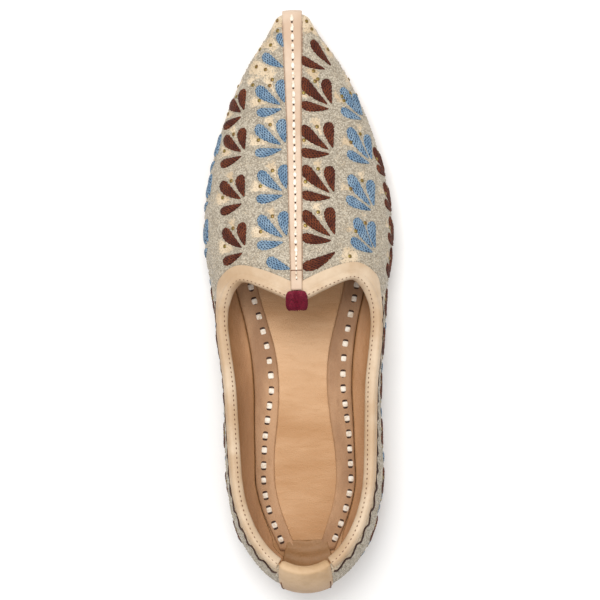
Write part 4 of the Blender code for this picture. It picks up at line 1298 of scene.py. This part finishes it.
def strip_rise(y):
    """How far the strip stands off the upper: more where it lies over the facing."""
    return GAP + (GAP + BINDING_THICK) * ease((y - BAND_FRONT_Y + 0.006) / 0.004)


def strip_row(y, thick, whole=False, across=11):
    """Points from the strip's edge to the middle line at one y, or from the sole up where whole is true.
    Along the shoe the edge is rounded: the thickness grows as a quarter circle over its first fifth."""
    s = np.linspace(0, 1, across)
    soft = ease((y - TIP_Y - NOSE) / (4 * MM))
    full_thick = thick * (1 - soft * (1 - np.sqrt(1 - (1 - np.clip(s * 5, 0, 1)) ** 2)))
    lift = GAP + thick if whole else strip_rise(y) + full_thick
    wide = float(side_x(y, -GAP - thick, -GAP - thick))
    at = np.full(across, y)
    if not whole:
        x = min(float(ridge_half(y)), wide) * (1 - s)
        return np.stack([x, at, dome_height(x, at, -lift, -lift)], -1)
    low = float(seat(y)) + GAP
    full = float(full_height(y))
    k = np.clip(s * 2, 0, 1)
    x = np.maximum(wide - float(tuck(y)) * (1 - k) ** 2, 0.0) * (1 - np.clip(s * 2 - 1, 0, 1) ** 2)
    z = np.where(s < 0.5, low + (full - low) * k, dome_height(x, at, -lift, -lift))
    return np.stack([x, at, z], -1)


def tassel_front():
    """Where the tassel starts, half its length before the throat."""
    return THROAT_Y - TASSEL_LENGTH / 2


def ridge_strip():
    """The strip over the ridge seam, from the tassel to the tip and down the nose to the sole: an outer
    and an inner skin of rows, closed along its edges and mirrored."""
    skins = []
    tip_half = ridge_half(TIP_Y)
    for thick in (RIDGE_STRIP_THICK, 0.0):
        rows = [strip_row(y, thick) for y in np.linspace(tassel_front() - GAP, TIP_Y + NOSE, 150)]
        lift = GAP + thick
        shares = np.linspace(0, 1, 101)
        wide = side_x(TIP_Y - lift + NOSE * (1 - shares), -lift, -lift)
        begin = float(np.interp(-tip_half, -wide, shares))
        steps = np.sin(np.linspace(0, np.pi / 2, 9))[1:]
        for share in np.concatenate([begin * steps, begin + (1 - begin) * steps]):
            rows.append(strip_row(TIP_Y - lift + NOSE * (1 - share), thick, share > begin))
        skins.append(np.stack(rows))
    outer, inner = skins
    size = outer.shape[0] * outer.shape[1]
    number = np.arange(size).reshape(outer.shape[:2])
    walls = [quads(np.stack([line, line + size], 1)) for line in (number[:, 0], number[0])]
    half = np.concatenate([quads(number), quads(number + size), *walls])
    points = np.concatenate([outer.reshape(-1, 3), inner.reshape(-1, 3)])
    faces = np.concatenate([half, half[:, ::-1] + 2 * size])
    every = np.concatenate([points, points * (-1, 1, 1)])
    made = add_piece("ridge_cover", every, faces.tolist(), [RIDGE])
    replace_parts(merge(made), "ridge_strip")


def on_ridge(x, y, out=0.0):
    """Points of the ridge strip's upper face and its normals."""
    lift = strip_rise(y) + RIDGE_STRIP_THICK
    return on_dome(x, y, lift + out)


def ridge_work():
    """Rawhide lacing down the ridge strip: a stitch tapered to the toe, a hole at its wide end. The pitch
    is 4.4 mm at the toe, 3.7 mm over the ball and 2.1 mm before the tassel."""
    runs = ((-126.5, -90, 4.4), (-88.2, -21, 3.7), (-19.5, -7, 2.1))
    y = np.concatenate([np.arange(*run) for run in runs]) * MM
    size = np.interp(y / MM, (-126, -90, -21, -19, -7), (1.15, 1.1, 1.0, 0.62, 0.6))
    x = rng.uniform(-0.1, 0.1, len(y)) * MM
    place, normal = on_ridge(x, y, 0.1 * MM)
    ahead = unit(on_ridge(x, y - 0.5 * MM, 0.1 * MM)[0] - place)
    aside = np.cross(normal, ahead)
    pills("ridge_lacing", (place, ahead, aside), RIDGE_LACE, RAWHIDE, size, 9, 10, 0.22)
    # Painted shade: a dark shape sunk at each stitch's wide end stands in for the shadow in its hole
    hole = place - ahead * (1.7 * MM * size)[:, None] - normal * 0.14 * MM
    pills("ridge_holes", (hole, ahead, aside), RIDGE_HOLE, HOLE_SHADE, size, 7, 10)
    line_y = np.linspace(tassel_front() - MM, TIP_Y + NOSE + MM, 260)
    line_x = ridge_half(line_y) - 0.1 * MM
    edges = [on_dome(side * line_x, line_y, strip_rise(line_y) * 0.6)[0] for side in (-1, 1)]
    cords("ridge_seams", np.stack(edges), 0.32 * MM, 1.1, EDGING)
    across = np.linspace(-1, 1, 9) * float(ridge_half(-12 * MM)) * 0.92
    points, _ = on_ridge(across, np.full(9, -12.4) * MM, 0.05 * MM)
    cords("ridge_cross_seam", points[None], 0.2 * MM, 0.8, SEAM)


# The heel tab

def inner_heel(turn, z, inset):
    """The point of the last made smaller by inset, round the heel at a height, found from the dome's
    own formula turned round: r = 1 - (1 - rise^upward)^(1 / across)."""
    y = HEEL_Y + HEEL_REACH * np.cos(turn) * 0.9
    low = full_height(y)
    rise = np.clip((z - low) / (crown_height(y) - inset - low), 0, 1)
    share = 1 - (1 - rise ** section("upward", y)) ** (1 / section("across", y))
    k = np.clip((z - seat(y)) / (low - seat(y)), 0, 1)
    step_in = inset + tuck(y) * (1 - k) ** 2
    px = (half_width(HEEL_Y) - step_in) * np.sin(turn) * (1 - share)
    py = HEEL_Y + (HEEL_REACH - step_in) * np.cos(turn) * (1 - share)
    return np.stack([px, py, z], -1)


def heel_tab():
    """The tab over the back of the collar: up the outside of the heel, over the rim, down the inside and
    forward on the insole. A row of it runs across at one height, its columns at equal turns."""
    across = np.linspace(-1, 1, 17)
    wide = heel_tab_turn(HEEL_TAB_WIDTH / 2)
    foot = float(np.arcsin(HEEL_TAB_FOOT / 2 / half_width(HEEL_Y)))
    near = []
    far = []
    edge = np.sqrt(1 - np.clip((np.abs(across) - 0.93) / 0.07, 0, 1) ** 2)
    thick = (GAP + HEEL_TAB_THICK * (0.25 + 0.75 * edge))[:, None]

    def heel_plan(turn, share, inset=0.0):
        """Places in plan on the heel's ellipse, a share of the way in to its centre."""
        x = (half_width(HEEL_Y) - inset) * np.sin(turn) * (1 - share)
        return x, HEEL_Y + (HEEL_REACH - inset) * np.cos(turn) * (1 - share)

    for k in np.linspace(0.12, 0.85, 7):
        turn = across * (foot + (wide - foot) * k * 0.4)
        x, y = heel_plan(turn, 0.0, tuck(np.full_like(turn, BACK_Y)) * (1 - k) ** 2)
        low = seat(y)
        point = np.stack([x, y, low + (full_height(y) - low) * k], -1)
        way = unit(np.stack([np.sin(turn) * HEEL_REACH, np.cos(turn) * half_width(HEEL_Y), 0 * turn], -1))
        near.append(point + way * GAP)
        far.append(point + way * thick)
    rim_share = float(HEEL_RIM["rim"][0])
    for s in np.linspace(0, 1, 12):
        turn = across * (foot + (wide - foot) * (0.4 + 0.6 * s))
        share = spline(np.degrees(np.abs(turn)), HEEL_RIM["turn"], HEEL_RIM["rim"]) * s * s
        x, y = heel_plan(turn, share)
        near.append(on_dome(x, y, GAP)[0])
        far.append(on_dome(x, y, thick[:, 0])[0])
    turn = across * wide
    x, y = heel_plan(turn, spline(np.degrees(np.abs(turn)), HEEL_RIM["turn"], HEEL_RIM["rim"]))
    rim, normal = on_dome(x, y)
    before, _ = on_dome(*heel_plan(turn, rim_share * 0.9))
    upward = rim - before
    upward = unit(upward - normal * np.sum(upward * normal, -1, keepdims=True))
    over = GAP + HEEL_TAB_THICK
    for bend in np.radians((25.0, 55.0, 90.0, 125.0, 155.0)):
        middle = rim - normal * WALL / 2
        near.append(middle + normal * np.cos(bend) * (WALL / 2 + GAP) + upward * np.sin(bend) * GAP)
        far.append(middle + normal * np.cos(bend) * (WALL / 2 + thick) + upward * np.sin(bend) * thick)
    inner_rim = rim - normal * WALL
    floor = insole_top(BACK_Y)
    clear = WALL + GAP
    for drop in np.linspace(0.04, 0.88, 9):
        z = inner_rim[:, 2:] + (floor + over * 1.5 - inner_rim[:, 2:]) * drop
        near.append(inner_heel(turn, z[:, 0], clear))
        far.append(inner_heel(turn, z[:, 0], clear + thick[:, 0] - GAP))
    foot_line = inner_heel(turn, np.full_like(turn, floor + over * 1.6), clear)
    for reach in np.linspace(0.12, 1.0, 12):
        bow = HEEL_TAB_FLAP * reach * (1 - 0.2 * np.abs(across) ** 3)
        x = foot_line[:, 0] * (1 - 0.28 * reach)
        y = foot_line[:, 1] - bow
        worn = 0.3 * MM * np.cos((reach - 0.12) * 21) * (1 - 0.6 * across**2) - 0.1 * MM
        top = floor + over + worn * edge - 0.5 * MM * max(reach - 0.93, 0) / 0.07
        near.append(np.stack([x, y, np.full_like(x, floor + GAP)], -1))
        far.append(np.stack([x, y, np.full_like(x, 1.0) * top], -1))
    sections = np.concatenate([np.stack(far), np.stack(near)[:, ::-1]], 1)
    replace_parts(loft("heel_tab_cover", sections, TAB, 1), "heel_tab")
    line = np.stack(far)[1:15]
    cords("heel_tab_seams", np.stack([line[:, 1], line[:, -2]]), 0.22 * MM, 0.9, SEAM)


# Insole and its strips

def sole_half_width(y, inset=0.0):
    """Half width of the outsole: the upper's foot and the welt beyond it."""
    step_in = tuck(y) - WELT + inset
    along = np.clip((y - HEEL_Y) / (HEEL_REACH - step_in), 0, 1)
    heel = (half_width(HEEL_Y) - step_in) * np.sqrt(1 - along**2)
    return np.where(y > HEEL_Y, heel, side_x(y, step_in, float(tuck(TIP_Y)) * 0.5))


def rows_between(front, rear, count):
    """Places along the foot, closest together at both ends, as cosines of equal angles."""
    angle = np.linspace(0.05, np.pi - 0.05, count)
    return (front + rear) / 2 - (rear - front) / 2 * np.cos(angle)


def insole():
    """The footbed: a profile across the foot carried along it, its upper edge rounded, with soft cross
    creases where the foot bends and the heel presses."""
    clearance = WALL + GAP
    y = rows_between(TIP_Y + TOE_FILL + NOSE, BACK_Y - float(tuck(BACK_Y)) - clearance, 150)
    half = sole_half_width(y, WELT + clearance)
    s = np.sin(np.linspace(-np.pi / 2, np.pi / 2, 33))
    x = half[:, None] * s
    worn = np.zeros_like(x)
    for one in entries(FOOTBED_CREASES, FOOTBED_CREASE_COLUMNS):
        bow = one["along"] * MM + one["lean"] * x + 30.0 * x * x
        worn -= one["depth"] * MM * np.exp(-(((y[:, None] - bow) / (one["width"] * MM)) ** 2))
    top = insole_top(y)[:, None] - 0.5 * MM * np.abs(s) ** 8 + worn * (1 - s**4)
    faces = [np.stack([x, y[:, None] + 0 * s, z + 0 * s], -1) for z in (top, seat(y)[:, None])]
    sections = np.concatenate([faces[0], faces[1][:, ::-1]], 1)
    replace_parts(loft("footbed", sections, FOOTBED), "insole")


# How far in from the strip's outer edge its lacing runs, at these places in mm, for each side
LACE_PLACES = (-60, -30, 40, 60, 105)
LACE_SHARES = {1: (0.60, 0.70, 0.70, 0.50, 0.32), -1: (0.44, 0.40, 0.34, 0.22, 0.22)}


def strip_edge(y, edge):
    """How far out the footbed strip's inner or outer edge lies at a place along the foot."""
    return HALF_BALL * spline(y / LENGTH, EDGE["along"], EDGE[edge])


def insole_strip(name, side):
    """A strip along the footbed: its edges rounded and its face slightly cupped, laced with rawhide."""
    y = LENGTH * np.linspace(EDGE["along"][0], EDGE["along"][-1], 120)
    inner = strip_edge(y, "inner")[:, None]
    outer = strip_edge(y, "outer")[:, None]
    s = np.array((0.0, 0.0, 0.03, 0.09, 0.25, 0.5, 0.75, 0.91, 0.97, 1.0, 1.0))
    h = np.array((0.1, 0.6, 0.9, 1.0, 0.94, 0.9, 0.94, 1.0, 0.9, 0.6, 0.1))
    z = (insole_top(y) + GAP)[:, None] + EDGE_STRIP_THICK * h
    sections = np.stack([side * (inner + (outer - inner) * s), y[:, None] + 0 * s, z], -1)
    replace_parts(loft(name + "_cover", sections, MAUVE), name)
    at = np.arange(*STRIP_LACE_RUN) * MM
    at = np.minimum(at + rng.uniform(-0.25, 0.25, len(at)) * MM, y[-1] - 1.6 * MM)
    share = np.interp(at / MM, LACE_PLACES, LACE_SHARES[side])
    across = strip_edge(at, "outer") * (1 - share) + strip_edge(at, "inner") * share
    place = np.stack([side * across, at, insole_top(at) + GAP + EDGE_STRIP_THICK * 0.93], -1)
    ahead = unit(np.stack([side * np.gradient(across, at), np.ones_like(at), 0 * at], -1))
    aside = np.cross((0.0, 0.0, 1.0), ahead)
    size = rng.uniform(0.92, 1.06, len(at))
    line = (place, ahead, aside)
    pills(name + "_lacing", line, STRIP_LACE, RAWHIDE, size, 9, 12, 0.0, 0.55)
    # Painted shade: dark slits sunk either side of each lace stand in for the shadow where it goes through
    slits = np.concatenate([place + ahead * 1.45 * MM, place - ahead * 1.45 * MM]) - (0, 0, 0.03 * MM)
    line = (slits, np.tile(ahead, (2, 1)), np.tile(aside, (2, 1)))
    pills(name + "_slits", line, STRIP_SLIT, HOLE_SHADE, 1.0, 7, 10)


def lining_fillet(name, side):
    """The lining's foot, drawn over the corner to the strip: at each place along the foot a curve from
    the strip's outer edge to half way up the wall, (1 - t)^2 a + 2 (1 - t) t b + t^2 c, where b is the
    corner, closed underneath by the corner itself."""
    end = HEEL_Y + HEEL_BEND * (np.pi / 2 - 0.42)
    travel = np.concatenate([np.linspace(-96 * MM, HEEL_Y, 90), np.linspace(HEEL_Y, end, 30)[1:]])

    def lining_at(turn, out):
        """The lining's face at a turn, moved in off it."""
        p = on_last(travel, turn)
        return p - unit(field_slope(p)) * (WALL - out)

    corner = lining_at(176.0, 0.0)
    corner[:, 2] = insole_top(corner[:, 1]) + 0.1 * MM
    wall = lining_at(126.0, 0.25 * MM)
    y = corner[:, 1]
    strip_gap = np.clip(corner[:, 0] - strip_edge(y, "outer"), 1.5 * MM, 9 * MM)
    gone = ease((travel - LENGTH * EDGE["along"][-1]) / (8 * MM))
    middle = np.stack([0 * y, np.minimum(y, HEEL_Y), corner[:, 2]], -1)
    inward = unit(middle - corner)
    start = corner + inward * (strip_gap * (1 - gone) + 3.2 * MM * gone)[:, None] + (0, 0, 0.25 * MM)
    t = np.linspace(0, 1, 13)[None, :, None]
    curve = (1 - t) ** 2 * start[:, None] + 2 * (1 - t) * t * corner[:, None] + t**2 * wall[:, None]
    under = (corner - inward * 0.4 * MM - (0, 0, 0.3 * MM))[:, None]
    sections = np.concatenate([curve, under], 1) * (side, 1, 1)
    loft(name, sections, LINING)


# The tassel

def tassel():
    """A stub of wool over the throat: the solid's rounded square section, pinched in the middle and
    locked round its edge, with clipped hairs standing off it."""
    angle = np.linspace(0, 2 * np.pi, 96, endpoint=False)
    lock = 0.96 + 0.04 * np.abs(np.cos(angle * 7))
    square = (np.abs(np.cos(angle)) ** 2.6 + np.abs(np.sin(angle)) ** 2.6) ** (-1 / 2.6)
    middle = 1 - 0.42 * np.exp(-((np.cos(angle) / 0.2) ** 2))
    along = np.array([0.0, 0.01, 0.05, 0.12, 0.22, 0.35, 0.5, 0.65, 0.78, 0.88, 0.95, 0.99, 1.0])
    swell = np.array([0.35, 0.62, 0.80, 0.89, 0.95, 0.99, 1.0, 1.0, 0.98, 0.93, 0.84, 0.68, 0.4])
    bed = float(on_dome(0.0, tassel_front())[0][2]) + GAP * 2 + BINDING_THICK

    def body(share, size, a, lift=0.0):
        """The wool's surface a share of the way back, at an angle round it."""
        locks = np.interp(a, angle, lock, period=2 * np.pi)
        squares = np.interp(a, angle, square, period=2 * np.pi)
        pinch = np.interp(a, angle, middle, period=2 * np.pi)
        x = (TASSEL_WIDTH / 2 * size * locks * squares + lift) * np.cos(a)
        z = (TASSEL_HEIGHT / 2 * size * locks * squares * pinch + lift) * np.sin(a)
        z = z + bed + TASSEL_HEIGHT / 2 + TASSEL_HEIGHT * (0.16 * (1 - share) - 0.3 * share**2)
        return np.stack([x, tassel_front() + TASSEL_LENGTH * share + 0 * a, z], -1)

    rings = np.stack([body(share, size, angle) for share, size in zip(along, swell)])
    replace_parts(loft("tassel_body", rings, WOOL), "tassel")
    count = 2200
    share = rng.uniform(0, 1, count) ** 0.9
    a = rng.uniform(0, 2 * np.pi, count)
    size = np.interp(share, along, swell)
    root = body(share, size * 0.97, a)
    away = unit(body(share, size, a, MM) - root)
    way = np.array((0.0, 1.0, 0.0)) + away * rng.uniform(0.05, 0.4, (count, 1))
    way = unit(way + rng.normal(0, 0.15, (count, 3)))
    long = rng.uniform(0.6, 1.3, count)[:, None] * MM * (1 - 0.5 * share[:, None])
    aside = unit(np.cross(way, away)) * 0.09 * MM
    up = np.cross(aside, way) * 0.8
    corners = [root + aside, root - aside * 0.5 + up, root - aside * 0.5 - up]
    bend = root + way * long * 0.55 + away * 0.12 * MM
    mids = [bend + (corner - root) * 0.8 for corner in corners]
    tip = root + way * long - np.array((0, 0, 0.15 * MM))
    points = np.stack(corners + mids + [tip], 1)
    start = (np.arange(count) * 7)[:, None, None]
    sides = np.array([(3, 4, 1, 0), (4, 5, 2, 1), (5, 3, 0, 2)]) + start
    ends = np.array([(6, 4, 3), (6, 5, 4), (6, 3, 5), (0, 1, 2)]) + start
    every = sides.reshape(-1, 4).tolist() + ends.reshape(-1, 3).tolist()
    add_piece("tassel_hairs", points, every, [WOOL])


# Embroidery on the skin

def wavy_lines():
    """Dark chain-stitch cord below the facing on both quarters: a wave leaning forward, at the facing's
    lower edge on the sides and 4.3 mm below it at the heel, run round to the tab."""
    turn, y, rim_count = stations(1, 90, 160, 60, 4, 3)
    turn = turn[1:rim_count]
    y = y[1:rim_count]
    band_x, band_y = rim_point(turn, y, "band")
    keep = y > -2 * MM
    start, _ = on_dome(band_x[keep], band_y[keep])
    phase = 2 * np.pi * run_along(start) / WAVE_LENGTH
    wave = np.sin(phase + 0.5 * np.sin(phase))
    down = unit(np.cross(np.gradient(start, axis=0), to_skin(start)[1]))
    down *= np.where(down[:, 2:] > 0, -1, 1)
    places = (30 * MM, 60 * MM, 90 * MM)
    below = np.interp(y[keep], places, (0.6, 1.2, 4.3))
    proud = np.interp(y[keep], places, (1.1, 0.9, 0.2)) * MM
    line = to_skin(start + down * (below + (0.6 + 0.16 * below) * wave)[:, None] * MM, proud)[0]
    lines = np.stack([line, line * (-1, 1, 1)])
    cords("wavy_cord", lines, 0.46 * MM, 1.1, CORD)


def sequins(place, normal):
    """Gilt sequins between the petals' round ends: a shallow dome each on the skin."""
    ahead = unit(np.cross(normal, (1.0, 0.0, 0.0)))
    line = (place + normal * 0.25 * MM, ahead, np.cross(normal, ahead))
    pills("gilt_sequins", line, SEQUIN, GOLD, 1.0, 9, 14)


def build():
    """Every piece of the shoe, from the sole up."""
    edge = facing_line()
    chart = chart_petals(edge)
    sequin, sequin_normal = sequin_places(chart)
    good = clear_of_facing(sequin, *edge) > clear_strip(sequin[:, 1]) + 0.6 * MM
    good &= sequin[:, 2] > seat(sequin[:, 1]) + 2 * MM
    upper(chart, sequin[good], edge)
    silver_work(chart, sequin[good], edge)
    sequins(sequin[good], sequin_normal[good])
    for word, finish_used in (("blue", BLUE), ("brown", BROWN)):
        chosen = tuple(part[chart[3] == word] for part in chart)
        petals(word + "_petals", chosen, finish_used)
    wavy_lines()
    for word, side in SIDES:
        seam = binding("facing_" + word, side)
        line = along_line(*seam, FACING_STITCH_PITCH)
        pills("facing_stitches_" + word, line, FACING_STITCH, SEAM)
        insole_strip("insole_strip_" + word, side)
        lining_fillet("lining_foot_" + word, side)
    ridge_strip()
    ridge_work()
    heel_tab()
    insole()
    tassel()
    for node in ("outsole", "heel_lift"):
        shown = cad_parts[node]
        shown.data.materials.clear()
        shown.data.materials.append(SOLE)


camera()
studio()
build()
